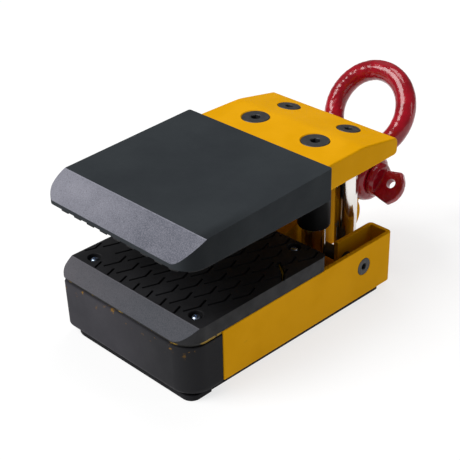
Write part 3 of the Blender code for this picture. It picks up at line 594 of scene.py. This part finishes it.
def clipped(points, low, high):
    """The part of a line of points inside a rectangle, cut back leg by leg."""
    kept = []
    for start, end in zip(points, points[1:]):
        first, last = 0.0, 1.0
        for axis in (0, 1):
            run = end[axis] - start[axis]
            if abs(run) < 1e-9:
                continue
            bounds = sorted(((low[axis] - start[axis]) / run, (high[axis] - start[axis]) / run))
            first, last = max(first, bounds[0]), min(last, bounds[1])
        if last - first > 0.15:
            kept.append(start.lerp(end, first))
            kept.append(start.lerp(end, last))
        elif kept:
            break
    line = []
    for point in kept:
        if not line or (point - line[-1]).length > 0.5:
            line.append(point)
    return line


def tread_grooves(low, high, crease_y, top_z, bottom_z, screws):
    """Rows of zigzag grooves with a row of short strokes along the front."""
    bm = bmesh.new()
    lines = []
    for column in range(-14, 12):
        start = Vector((STROKE_PITCH * column, crease_y - 0.8))
        lines.append([start, start + Vector((-3.9, 11.6))])
        for row in range(8):
            foot = Vector((STROKE_PITCH * column + 2.7, crease_y + 7.2))
            foot += Vector((ROW_STEP.x * row, ROW_STEP.y * row))
            lines.append([foot, foot + Vector((4.8, 12.9)), foot + Vector((1.4, 23.0))])
    for line in lines:
        line = clipped(line, low, high)
        if len(line) < 2 or (line[0] - line[-1]).length < SHORTEST_GROOVE:
            continue
        tests = (line[0], line[-1], line[len(line) // 2])
        if any((point - screw).length < SCREW_LAND_RADIUS for screw in screws for point in tests):
            continue
        groove(bm, line, *GROOVE_WIDTHS, top_z, bottom_z)
    return bm


def screw_places(node_prefix):
    """Centres of the four screws of a pad, from their CAD nodes."""
    return [middle(f"{node_prefix}_pad_screw_{end}_{side_name}").xy
            for end in ("front", "rear") for side_name, _ in SIDES]


def front_corners(half_width, front_y):
    """The jaws' front corners: tight on the left and full on the right."""
    return [(-half_width, front_y, LEFT_CORNER_RADIUS), (half_width, front_y, RIGHT_CORNER_RADIUS)]


def jaw_outline(low, high, rear_radius):
    rear = [(high.x, high.y, rear_radius), (-high.x, high.y, rear_radius)]
    return rounded(front_corners(high.x, low.y) + rear, 14)


def cut_bevel(bm, crease, lip, swell, facets=9):
    """Cut a slightly swollen bevel from the crease down to the lip, both in (y, z)."""
    chord = Vector(lip) - Vector(crease)
    outward = Vector((chord.y, -chord.x)).normalized()
    points = []
    for step in range(facets + 1):
        t = step / facets
        points.append(Vector(crease) + chord * t + outward * 4.0 * swell * t * (1.0 - t))
    for upper, lower in zip(points, points[1:]):
        run = lower - upper
        cut_by_plane(bm, (0.0, upper.x, upper.y), (0.0, run.y, -run.x))


def paint_bevel(made, finish, crease_y, low_z):
    """Give the faces of the bevel, in front of the crease, a second material."""
    made.data.materials.append(finish)
    for face in made.data.polygons:
        if face.center.y < crease_y * MM and face.center.z > low_z * MM and face.normal.z > 0.12:
            face.material_index = 1


def make_lower_tread_pad():
    """The lower pad: ground bevel, zigzag tread, screw recesses and a slit with a strip of yellow in it."""
    low, high = extent("lower_tread_pad")
    crease_y, lip_z = -147.3, low.z + 0.8
    bm = prism(jaw_outline(low, high, 6.0), low.z, high.z, "Z")
    cut_bevel(bm, (crease_y, high.z), (low.y, lip_z), 1.1)
    soften(bm, 0.6, 3)
    screws = screw_places("lower")
    recesses = bmesh.new()
    for place in screws:
        turned([(0.0, low.z - 1.0), (SCREW_BORE, low.z - 1.0), (SCREW_BORE, high.z - 3.4),
                (RECESS_RADIUS, high.z - 3.4), (5.8, high.z - 0.4), (6.4, high.z + 0.2), (0.0, high.z + 0.2)],
               place.to_3d(), "Z", 36, recesses)
    grooves = tread_grooves(Vector((low.x + 2.4, crease_y + 0.6)), Vector((high.x - 2.4, high.y - 2.0)),
                            crease_y, high.z + 0.4, high.z - 2.6, screws)
    slit = bmesh.new()
    groove(slit, [Vector((54.5, -39.2)), Vector((66.5, -47.6)), Vector((75.2, -57.2))], 3.4, 1.6,
           high.z + 0.4, high.z - 3.4)
    made = piece("lower_tread_rubber", bm, TREAD, "lower_body", ["lower_tread_pad"],
                 (recesses, grooves, slit))
    paint_bevel(made, BEVEL_DARK, crease_y, lip_z - 0.4)
    strip = loft([[(54.9, -39.4, high.z - 1.0), (55.6, -39.9, high.z - 2.6), (55.0, -40.2, high.z - 2.6)],
                  [(66.2, -47.0, high.z - 0.3), (67.2, -47.8, high.z - 2.6), (66.0, -48.4, high.z - 2.6)],
                  [(74.6, -56.6, high.z - 0.9), (75.0, -57.2, high.z - 2.6), (74.4, -57.2, high.z - 2.6)]])
    ribbon = mesh_object("pad_strip", strip)
    ribbon.data.materials.append(STRIP)
    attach(ribbon, "lower_body")


def make_upper_tread_pad():
    """The upper pad: the same tread, notched into lugs along its front edge."""
    low, high = extent("upper_tread_pad")
    bm = prism(jaw_outline(low, high, 4.0), low.z, high.z, "Z")
    soften(bm, 0.6, 2)
    screws = screw_places("upper")
    recesses = bmesh.new()
    for place in screws:
        turned([(0.0, high.z + 1.0), (SCREW_BORE, high.z + 1.0), (SCREW_BORE, low.z + 3.2),
                (RECESS_RADIUS, low.z + 3.2), (5.8, low.z - 0.2), (0.0, low.z - 0.2)],
               place.to_3d(), "Z", 36, recesses)
    grooves = tread_grooves(Vector((low.x + 2.0, low.y + 14.0)), Vector((high.x - 2.0, high.y - 2.0)),
                            low.y, low.z - 0.4, low.z + 3.0, screws)
    notches = bmesh.new()
    for column in range(-5, 6):
        start = Vector((STROKE_PITCH * column + 7.7, low.y - 1.5))
        groove(notches, [start, start + Vector((-4.4, 13.0))], 7.4, 6.4, low.z - 0.4, low.z + 3.3)
    piece("upper_tread_rubber", bm, TREAD, "upper_jaw", ["upper_tread_pad"],
          (recesses, grooves, notches))


def make_flash(low, high):
    """The thin ragged lip of moulding flash that hangs along the cover's lower edges."""
    bm = bmesh.new()
    steps, shortest_drop = 150, 0.25
    for _, side in SIDES:
        rings = []
        for step in range(steps + 1):
            y = low.y + 26.0 + (high.y - low.y - 28.0) * step / steps
            tear = noise.noise(Vector((y * 0.35, side * 9.0, 0.0)))
            tear += 0.6 * noise.noise(Vector((y * 1.1, 3.0, side)))
            drop = max(shortest_drop, 1.0 + 1.3 * tear)
            x = side * (high.x - 0.9)
            rings.append([(x, y, low.z + 0.3), (x - side * 0.9, y, low.z + 0.3),
                          (x - side * 0.6, y, low.z - drop), (x - side * 0.15, y, low.z - drop)])
        loft(rings, bm)
    flash = mesh_object("cover_flash", bm)
    flash.data.materials.append(COVER)
    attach(flash, "upper_jaw")


def make_upper_cover():
    """The moulded cover: a shell with a sloping top and a swollen ground bevel, hollow for head and pad."""
    low, high = extent("upper_cover")
    crease = Vector((0.0, -142.0, 144.5))
    lip_z = 125.5
    bm = prism(jaw_outline(low, high, 2.2), low.z, high.z + 6.0, "Z")
    rise = Vector((0.0, -(high.z - crease.z), high.y - crease.y)).normalized()
    cut_by_plane(bm, crease, rise)
    cut_bevel(bm, (crease.y, crease.z), (low.y, lip_z), 2.9)
    soften(bm, 0.8, 4)
    head_low, head_high = extent("head_block")
    left_x, right_x = head_low.x - CLEARANCE, head_high.x + CLEARANCE
    front_y, rear_y = head_low.y - CLEARANCE, 10.0
    cavity = prism([(left_x, front_y), (right_x, front_y), (right_x, rear_y), (left_x, rear_y)],
                   110.0, 134.9, "Z")
    pad_low, pad_high = extent("upper_tread_pad")
    seat_low = pad_low - Vector((CLEARANCE, CLEARANCE, 0.0))
    seat_high = pad_high + Vector((CLEARANCE, 30.0, 0.0))
    seat = prism(jaw_outline(seat_low, seat_high, 2.0), 110.0, pad_high.z + CLEARANCE, "Z")
    made = piece("cover_rubber_shell", bm, COVER, "upper_jaw", ["upper_cover"],
                 (cavity, seat))
    make_flash(low, high)
    paint_bevel(made, BEVEL_GREY, crease.y, lip_z - 0.6)


def make_nose_bumper():
    """The nose: a block that narrows slightly downwards and is rounded along its bottom."""
    low, high = extent("nose_bumper")
    radius = 5.5
    heights = [(high.z, 1.0), (high.z - 0.3, 0.35), (high.z - 1.0, 0.02), (high.z - 12.0, 0.2),
               (low.z + 22.0, 0.45)]
    for step in range(11):
        angle = math.pi / 2.0 * step / 10.0
        heights.append((low.z + radius * (1.0 - math.sin(angle)), 0.8 + radius * (1.0 - math.cos(angle))))
    rings = []
    for z, inset in heights:
        x = high.x - 0.35 * inset
        outline = rounded(front_corners(x, low.y + inset) + [(x, high.y, 0.4), (-x, high.y, 0.4)], 16)
        rings.append([(u, v, z) for u, v in outline])
    piece("nose_rubber_block", loft(rings), NOSE, "lower_body", ["nose_bumper"], sharp=40.0)


def make_sole_sheet():
    """The sole: wider under the nose, slit at the rear where the lower link swings."""
    low, high = extent("sole_sheet")
    front, step, step_y = 72.0, 70.5, -134.0
    corners = [(-front, low.y, 14.0), (front, low.y, 9.0), (front, step_y, 0.5), (step, step_y, 0.5),
               (high.x, high.y, 3.0), (16.0, high.y, 1.0), (16.0, 38.0, 2.0), (-16.0, 38.0, 2.0),
               (-16.0, high.y, 1.0), (-high.x, high.y, 3.0), (-step, step_y, 0.5), (-front, step_y, 0.5)]
    bm = soften(prism(rounded(corners, 12), low.z, high.z, "Z"), 0.6, 2, 50.0)
    piece("sole_rubber_sheet", bm, SOLE, "lower_body", ["sole_sheet"])


# Steel of the lower body ---------------------------------

def make_side_frame(side_name, side):
    """A bent plate that turns back at the rear to form the open pocket; its lower edge slopes."""
    low, high = extent(f"side_frame_{side_name}")
    outer, inner = (high.x, low.x) if side > 0 else (-low.x, -high.x)
    wall, bend, front_rise, return_y = 4.0, 4.5, 2.4, 33.0
    corners = [(outer, low.y, 0.0), (outer, high.y, bend), (inner, high.y, bend), (inner, return_y, 0.0),
               (inner + wall, return_y, 0.0), (inner + wall, high.y - wall, 0.8),
               (outer - wall, high.y - wall, 0.8), (outer - wall, low.y, 0.0)]
    outline = [(side * x, y) for x, y in rounded(corners, 10)]
    bm = prism(outline, low.z, high.z, "Z")
    for vert in bm.verts:
        if vert.co.z < high.z - 1.0:
            vert.co.z += front_rise * (high.y - vert.co.y) / (high.y - low.y)
    soften(bm, 0.75, 3, 50.0)
    seat = turned([(0.0, side * (outer + 1.0)), (9.0, side * (outer + 1.0)), (8.3, side * (outer - 0.1)),
                   (4.3, side * (outer - wall)), (4.3, side * (outer - wall - 2.0)),
                   (0.0, side * (outer - wall - 2.0))], (0.0, SHAFT_Y, SHAFT_Z), "X", 48)
    bore = turned([(0.0, side * (inner - 5.0)), (6.3, side * (inner - 5.0)),
                   (6.3, side * (outer - wall - 0.5)), (0.0, side * (outer - wall - 0.5))],
                  (0.0, SHAFT_Y, SHAFT_Z), "X", 32)
    piece(f"side_wall_{side_name}", bm, YELLOW, "lower_body", [f"side_frame_{side_name}"],
          (seat, bore))


def make_top_plate():
    """The plate under the lower pad: full width over the nose, then between the side walls."""
    low, high = extent("top_plate")
    body_x, step_y = 71.7, -124.3
    corners = front_corners(high.x, low.y)
    corners += [(high.x, step_y, 0.0), (body_x, step_y, 0.0), (body_x, high.y, 0.0),
                (-body_x, high.y, 0.0), (-body_x, step_y, 0.0), (low.x, step_y, 0.0)]
    holes = bmesh.new()
    for place in screw_places("lower"):
        turned([(0.0, 40.0), (2.3, 40.0), (2.3, 60.0), (0.0, 60.0)], place.to_3d(), "Z", 20, holes)
    bm = soften(prism(rounded(corners, 12), low.z, high.z, "Z"), 0.3, 2, 50.0)
    piece("jaw_plate", bm, GAP_SHADE_YELLOW, "lower_body", ["top_plate"], (holes,))


def make_guide_rod(name):
    low, high = extent(f"{name}_rod")
    radius = (high.x - low.x) / 2.0
    chamfer, bolt_bore, bore_depth = 0.8, 5.3, 26.0
    bm = turned([(0.0, low.z), (radius - chamfer, low.z), (radius, low.z + chamfer),
                 (radius, high.z - chamfer), (radius - chamfer, high.z), (bolt_bore, high.z),
                 (bolt_bore, high.z - bore_depth), (0.0, high.z - bore_depth)], middle(f"{name}_rod"), "Z")
    piece(f"{name}_guide_rod", bm, CHROME, "lower_body", [f"{name}_rod"])


def hexagon(radius, level_low, level_high):
    points = [(radius * math.cos(math.pi / 3.0 * step + 0.3), radius * math.sin(math.pi / 3.0 * step + 0.3))
              for step in range(6)]
    return prism(points, level_low, level_high, "Z")


def socket_bolt(profile, socket_radius, depth):
    """A turned bolt along Z, its head's top at zero, and the cutters of its hexagon socket."""
    bm = turned(profile, (0.0, 0.0, 0.0), "Z", 48)
    socket = hexagon(socket_radius, -depth, 0.4)
    flare = turned([(0.0, -0.5), (socket_radius * 0.92, -0.5), (socket_radius * 1.16, 0.3), (0.0, 0.3)],
                   (0.0, 0.0, 0.0), "Z", 32)
    return bm, (socket, flare)


def make_rod_bolt(name, tilt):
    low, high = extent(f"{name}_rod_bolt")
    head = (high.x - low.x) / 2.0
    place = Matrix.Translation(middle(f"{name}_rod_bolt", high.z))
    place = place @ Matrix.Rotation(tilt, 4, "X")
    profile = [(0.0, -20.0), (5.0, -20.0), (5.0, -6.6), (head * 0.62, -6.4), (head - 0.2, -1.3),
               (head, -0.9), (head, -0.5), (head - 0.5, 0.0), (0.0, 0.0)]
    bm, cutters = socket_bolt(profile, head * 0.37, 8.5)
    for shape in (bm, *cutters):
        bmesh.ops.transform(shape, matrix=place, verts=shape.verts)
    piece(f"{name}_socket_bolt", bm, BLACK, "lower_body", [f"{name}_rod_bolt"], cutters)


def make_side_bolt(side_name, side):
    low, high = extent(f"side_bolt_{side_name}")
    face_x = high.x if side > 0 else low.x
    place = Matrix.Translation((face_x, SHAFT_Y, SHAFT_Z)) @ Matrix.Rotation(side * math.pi / 2.0, 4, "Y")
    profile = [(0.0, -14.0), (4.0, -14.0), (4.0, -4.2), (7.7, -0.9), (7.9, -0.5), (7.6, 0.0), (0.0, 0.0)]
    bm, cutters = socket_bolt(profile, 3.0, 3.6)
    for shape in (bm, *cutters):
        bmesh.ops.transform(shape, matrix=place, verts=shape.verts)
    piece(f"side_socket_bolt_{side_name}", bm, BLACK, "lower_body", [f"side_bolt_{side_name}"],
          cutters)


def make_pad_screw(jaw, name, body):
    node = f"{jaw}_pad_screw_{name}"
    low, high = extent(node)
    centre = middle(node)
    up = jaw == "lower"
    top, tip, way = (high.z, low.z, 1.0) if up else (low.z, high.z, -1.0)
    profile = [(0.0, tip), (2.0, tip), (2.0, top - way * 2.4), (3.55, top - way * 2.4)]
    for step in range(7):
        angle = math.radians(8.0 + 62.0 * step / 6.0)
        profile.append((3.55 * math.cos(angle) + 0.04, top - way * 2.2 + way * 2.2 * math.sin(angle) / 0.94))
    profile.append((0.0, top))
    bm = turned(profile, centre, "Z", 32)
    cutter = hexagon(1.35, top - way * 1.5, top + way * 0.5)
    bmesh.ops.translate(cutter, vec=centre, verts=cutter.verts)
    piece(f"{jaw}_screw_{name}", bm, ZINC, body, [node], (cutter,), sharp=50.0)


def make_cross_shaft():
    low, high = extent("cross_shaft")
    bm = turned([(0.0, low.x + 12.0), (4.3, low.x + 12.0), (4.3, low.x), (5.5, low.x), (6.0, low.x + 0.5),
                 (6.0, high.x - 0.5), (5.5, high.x), (4.3, high.x), (4.3, high.x - 12.0),
                 (0.0, high.x - 12.0)], (0.0, SHAFT_Y, SHAFT_Z), "X", 48)
    piece("pivot_shaft", bm, BLACK, "lower_body", ["cross_shaft"])


# Upper jaw -----------------------------------------------

def make_head():
    """The head: a tapering block that slopes down to the rear, with a tongue that carries the cover."""
    low, high = extent("head_block")
    front_y, slope_y, rear_z = -6.2, 43.0, 139.6
    rear_half = 70.0
    tongue_low, tongue_high = 124.6, 134.6
    slot_half = 5.2
    profile = rounded([(front_y, low.z, 0.0), (high.y, low.z, 4.0), (high.y, rear_z - 1.5, 5.5),
                       (slope_y, high.z, 60.0), (front_y, high.z, 0.0)], 10)
    bm = prism(profile, -high.x, high.x, "X")
    taper = (high.x - rear_half) / (high.y - front_y)
    for vert in bm.verts:
        vert.co.x -= math.copysign(taper * (vert.co.y - front_y), vert.co.x)
    soften(bm, 1.6, 4, 50.0)
    tongue_half = high.x - 0.5
    tongue = prism(rounded([(-tongue_half, low.y, 18.0), (tongue_half, low.y, 18.0), (tongue_half, 4.0, 0.0),
                            (-tongue_half, 4.0, 0.0)], 8), tongue_low, tongue_high, "Z")
    head = mesh_object("head_blank", bm)
    plate = mesh_object("tongue_blank", tongue)
    union = head.modifiers.new("union", "BOOLEAN")
    union.object = plate
    union.operation = "UNION"
    union.solver = "EXACT"
    joined = taken_back(head)
    bpy.data.objects.remove(plate)
    cutters = []
    for side_name, _ in SIDES:
        for end, tilt in (("front", 0.0), ("rear", REAR_TILT)):
            rod = f"{end}_{side_name}_rod"
            rod_low, rod_high = extent(rod)
            bolt_low, bolt_high = extent(f"{rod}_bolt")
            bore = (rod_high.x - rod_low.x) / 2.0 + CLEARANCE
            cone = (bolt_high.x - bolt_low.x) / 2.0 + 0.35
            cutters.append(turned([(0.0, 110.0), (bore + 1.0, 110.0), (bore + 1.0, low.z + 0.2),
                                   (bore, low.z + 1.2), (bore, bolt_high.z + 9.0), (0.0, bolt_high.z + 9.0)],
                                  middle(rod), "Z", 64))
            sink = turned([(0.0, -7.5), (bore, -7.5), (bore, -5.2), (cone, -1.1), (cone + 0.1, -0.5),
                           (cone + 0.8, 0.25), (cone + 3.0, 8.0), (0.0, 8.0)], (0.0, 0.0, 0.0), "Z", 64)
            place = Matrix.Translation(middle(rod, bolt_high.z)) @ Matrix.Rotation(tilt, 4, "X")
            bmesh.ops.transform(sink, matrix=place, verts=sink.verts)
            cutters.append(sink)
    cutters.append(prism([(34.3, 118.0), (92.5, 118.0), (92.5, 128.5), (55.7, 142.8), (34.3, 142.8)],
                         -slot_half, slot_half, "X"))
    cutters.append(turned([(0.0, -90.0), (5.1, -90.0), (5.1, 28.0), (0.0, 28.0)],
                          (0.0, SHAFT_Y, HEAD_PIN_Z), "X", 40))
    for place in screw_places("upper"):
        cutters.append(turned([(0.0, 110.0), (2.3, 110.0), (2.3, 130.0), (0.0, 130.0)],
                              place.to_3d(), "Z", 20))
    piece("head_casting", joined, YELLOW, "upper_jaw", ["head_block"], cutters)


def make_guide_sleeve(side_name):
    low, high = extent(f"guide_sleeve_{side_name}")
    outer = (high.x - low.x) / 2.0
    inner = 10.8
    bm = turned([(inner, high.z), (inner, low.z + 1.0), (inner + 0.8, low.z), (outer - 1.4, low.z),
                 (outer - 0.5, low.z + 0.4), (outer, low.z + 1.4), (outer, high.z)],
                middle(f"guide_sleeve_{side_name}"), "Z")
    piece(f"sleeve_{side_name}", bm, SLEEVE, "upper_jaw", [f"guide_sleeve_{side_name}"],
          sharp=60.0)


def make_head_pin():
    low, high = extent("head_pin")
    bm = turned([(0.0, low.x), (4.4, low.x), (5.0, low.x + 0.6), (5.0, high.x - 0.6), (4.4, high.x),
                 (0.0, high.x)], (0.0, SHAFT_Y, HEAD_PIN_Z), "X", 40)
    piece("link_pin_upper", bm, ZINC, "upper_jaw", ["head_pin"])


# Links ---------------------------------------------------

PIN_BORE = 11.3


def bore_cutter(y, z, radius, half):
    """A bore across X with chamfered mouths, through a plate of the given half thickness."""
    lip, wide, end = 0.5, radius + 1.5, half + 1.0
    return turned([(0.0, -end), (wide, -end), (radius, -half + lip), (radius, half - lip), (wide, end),
                   (0.0, end)], (0.0, y, z), "X", 56)


def make_lower_link():
    """The thick lower link with its heel, forked at the shackle pin to take the upper link."""
    half, fork_y, fork_z, fork_half = 14.0, 62.0, 48.0, 5.2
    outline = rounded([(2.5, 24.0, 3.0), (2.5, 53.5, 2.0), (30.0, 59.2, 0.0)], 5)[:-1]
    outline += [(28.0, 58.7), (34.0, 60.0), (40.0, 61.5)]
    outline += arc((PIN_Y, PIN_Z), 21.0, 132.0, -38.0, 30)
    outline += [(114.4, 56.0), (112.6, 53.0)]
    outline += arc((94.0, 37.0), 19.5, 32.0, -90.0, 20)
    outline += arc((SHAFT_Y, SHAFT_Z), 17.5, -90.0, -120.0, 5)
    bm = soften(prism(outline, -half, half, "X"), 1.0, 3, 50.0)
    fork = prism(rounded([(fork_y, fork_z, 3.0), (140.0, fork_z, 0.0), (140.0, 120.0, 0.0),
                          (fork_y, 120.0, 0.0)], 5), -fork_half, fork_half, "X")
    piece("link_lower_forked", bm, YELLOW, "lower_link", ["lower_link"],
          (fork, bore_cutter(SHAFT_Y, SHAFT_Z, 6.3, half), bore_cutter(PIN_Y, PIN_Z, PIN_BORE, half)))


def make_upper_link():
    """The flat upper link: two round ends, small at the head pin and large at the shackle pin."""
    top, eye = Vector((SHAFT_Y, HEAD_PIN_Z)), Vector((PIN_Y, PIN_Z))
    small, large, half = 8.3, 19.0, 4.7
    heading = math.degrees(math.atan2(eye.y - top.y, eye.x - top.x))
    spread = math.degrees(math.acos((small - large) / (eye - top).length))
    outline = arc(top, small, heading + spread, heading + 360.0 - spread, 20)
    outline += arc(eye, large, heading - spread, heading + spread, 32)
    bm = soften(prism(outline, -half, half, "X"), 0.8, 3, 50.0)
    piece("link_upper_flat", bm, YELLOW, "upper_link", ["upper_link"],
          (bore_cutter(top.x, top.y, 5.3, half), bore_cutter(eye.x, eye.y, 11.8, half)))


# Shackle -------------------------------------------------

BOW_LEAN = math.radians(33.0)
BOW_UP = Vector((0.0, math.sin(BOW_LEAN), math.cos(BOW_LEAN)))
BOW_NORMAL = Vector((0.0, math.cos(BOW_LEAN), -math.sin(BOW_LEAN)))
BOW_RADIUS, BOW_CENTRE, BOW_MOUTH, STOCK_RADIUS = 37.2, 54.3, math.radians(-35.0), 9.25
TAB_ANGLE = math.radians(47.0)
TAB_OFFSET = -2.6


def bow_path():
    """Centreline from ear to ear in the leaning plane of the bow."""
    mouth = Vector((BOW_RADIUS * math.cos(BOW_MOUTH), BOW_CENTRE + BOW_RADIUS * math.sin(BOW_MOUTH)))
    tangent = Vector((-math.sin(BOW_MOUTH), math.cos(BOW_MOUTH)))
    start = Vector((25.0, 2.0))
    lead, trail = start + Vector((0.0, 18.0)), mouth - tangent * 12.0
    flat = []
    for step in range(14):
        t = step / 14.0
        flat.append(start * (1 - t) ** 3 + lead * 3 * t * (1 - t) ** 2
                    + trail * 3 * t * t * (1 - t) + mouth * t ** 3)
    leg = list(flat)
    flat += [Vector(point) for point in arc((0.0, BOW_CENTRE), BOW_RADIUS, math.degrees(BOW_MOUTH),
                                            180.0 - math.degrees(BOW_MOUTH), 48)]
    flat += [Vector((-point.x, point.y)) for point in reversed(leg)]
    return [Vector((point.x, PIN_Y, PIN_Z)) + BOW_UP * point.y for point in flat]


def remeshed(name, bm, voxel, smoothing):
    """One skin over overlapping solids, with the joins smoothed like a forging."""
    made = mesh_object(name, bm)
    skin = made.modifiers.new("skin", "REMESH")
    skin.mode = "VOXEL"
    skin.voxel_size = voxel * MM
    smooth = made.modifiers.new("smooth", "SMOOTH")
    smooth.factor = 0.5
    smooth.iterations = smoothing
    return taken_back(made)


def lump(bm, amount, scale, weight):
    """Push a skin in and out by noise, as runs and lumps of thick paint."""
    bm.normal_update()
    moves = []
    for vert in bm.verts:
        swell = noise.noise(vert.co * scale)
        swell += 0.5 * noise.noise(vert.co * scale * 2.3 + Vector((9.0, 4.0, 1.0)))
        moves.append(vert.normal * amount * swell * weight(vert.co))
    for vert, move in zip(bm.verts, moves):
        vert.co += move


def make_shackle_bow():
    """The bow and its ears, skinned as one forging; the left leg is the lumpier one."""
    bm = tube(bow_path(), STOCK_RADIUS, 40, BOW_NORMAL)
    for _, side in SIDES:
        turned([(0.0, side * 16.2), (20.8, side * 16.2), (22.6, side * 18.2), (22.6, side * 28.0),
                (20.6, side * 32.0), (17.5, side * 34.0), (0.0, side * 34.0)],
               (0.0, PIN_Y, PIN_Z), "X", 56, bm)
    skin = remeshed("bow_skin", bm, 1.0, 4)
    low, high = extent("shackle_bow")

    def weight(point):
        return 1.0 if point.x < 0.0 else 0.45

    lump(skin, 0.22, 0.33, weight)
    for vert in skin.verts:
        vert.co = Vector([min(max(value, least), most) for value, least, most in zip(vert.co, low, high)])
    bore = turned([(0.0, -50.0), (PIN_BORE, -50.0), (PIN_BORE, 50.0), (0.0, 50.0)],
                  (0.0, PIN_Y, PIN_Z), "X", 64)
    piece("shackle_bow_forging", skin, RED, "shackle", ["shackle_bow"], (bore,), sharp=60.0)


def make_shackle_pin():
    """The pin, its collar and the flat eye that a bar turns it by."""
    low, high = extent("shackle_pin")
    bm = turned([(0.0, low.x), (9.6, low.x), (11.0, low.x + 1.4), (11.0, 34.4), (14.6, 34.4), (15.4, 35.4),
                 (15.4, 38.4), (13.0, 41.0), (0.0, 42.4)], (0.0, PIN_Y, PIN_Z), "X", 64)
    outline = rounded([(37.0, -11.0, 1.0), (56.6, -15.0, 1.4), (62.8, -8.6, 9.0), (high.x - 1.4, 0.0, 16.0),
                       (62.6, 9.0, 9.0), (57.0, 15.6, 1.4), (37.0, 11.5, 1.0)], 6)
    tab = soften(prism(outline, -3.0, 3.6, "Z"), 0.8, 2, 50.0)
    turn = Matrix.Translation((0.0, PIN_Y, PIN_Z)) @ Matrix.Rotation(TAB_ANGLE, 4, "X")
    turn = turn @ Matrix.Translation((0.0, TAB_OFFSET, 0.0))
    bmesh.ops.transform(tab, matrix=turn, verts=tab.verts)
    tab_mesh = bpy.data.meshes.new("tab")
    tab.to_mesh(tab_mesh)
    bm.from_mesh(tab_mesh)
    bpy.data.meshes.remove(tab_mesh)
    skin = remeshed("pin_skin", bm, 0.8, 2)
    lump(skin, 0.14, 0.35, lambda point: 1.0 if point.x > 36.0 else 0.0)
    hole = turned([(0.0, -9.0), (6.0, -9.0), (4.2, -3.2), (4.2, 3.2), (6.0, 9.0), (0.0, 9.0)],
                  (52.5, 2.8, 0.0), "Z", 40)
    bmesh.ops.transform(hole, matrix=turn, verts=hole.verts)
    piece("shackle_pin_forging", skin, RED, "shackle", ["shackle_pin"], (hole,), sharp=50.0)


# The rest of the CAD solids keep their shape -------------

def finish_carried_nodes():
    """Give every CAD node the finish of its slot; those not replaced stay in view."""
    finishes = {"yellow_paint": YELLOW, "black_rubber": SOLE, "chromed_rod": CHROME, "black_steel": BLACK,
                "bright_steel": ZINC, "red_paint": RED}
    slots = {entry["node"]: entry["material_slot"] for entry in frame["record"]["subparts"]}
    for name, node in frame["nodes"].items():
        node.data.materials.clear()
        node.data.materials.append(finishes[slots[name]])


finish_carried_nodes()
make_camera()
make_stage()
make_lower_tread_pad()
make_upper_tread_pad()
make_upper_cover()
make_nose_bumper()
make_sole_sheet()
make_top_plate()
make_cross_shaft()
for side_label, direction in SIDES:
    make_side_frame(side_label, direction)
    make_side_bolt(side_label, direction)
    make_guide_sleeve(side_label)
    make_guide_rod(f"front_{side_label}")
    make_guide_rod(f"rear_{side_label}")
    make_rod_bolt(f"front_{side_label}", 0.0)
    make_rod_bolt(f"rear_{side_label}", REAR_TILT)
    for end_label in ("front", "rear"):
        make_pad_screw("lower", f"{end_label}_{side_label}", "lower_body")
        make_pad_screw("upper", f"{end_label}_{side_label}", "upper_jaw")
make_head()
make_head_pin()
make_lower_link()
make_upper_link()
make_shackle_bow()
make_shackle_pin()
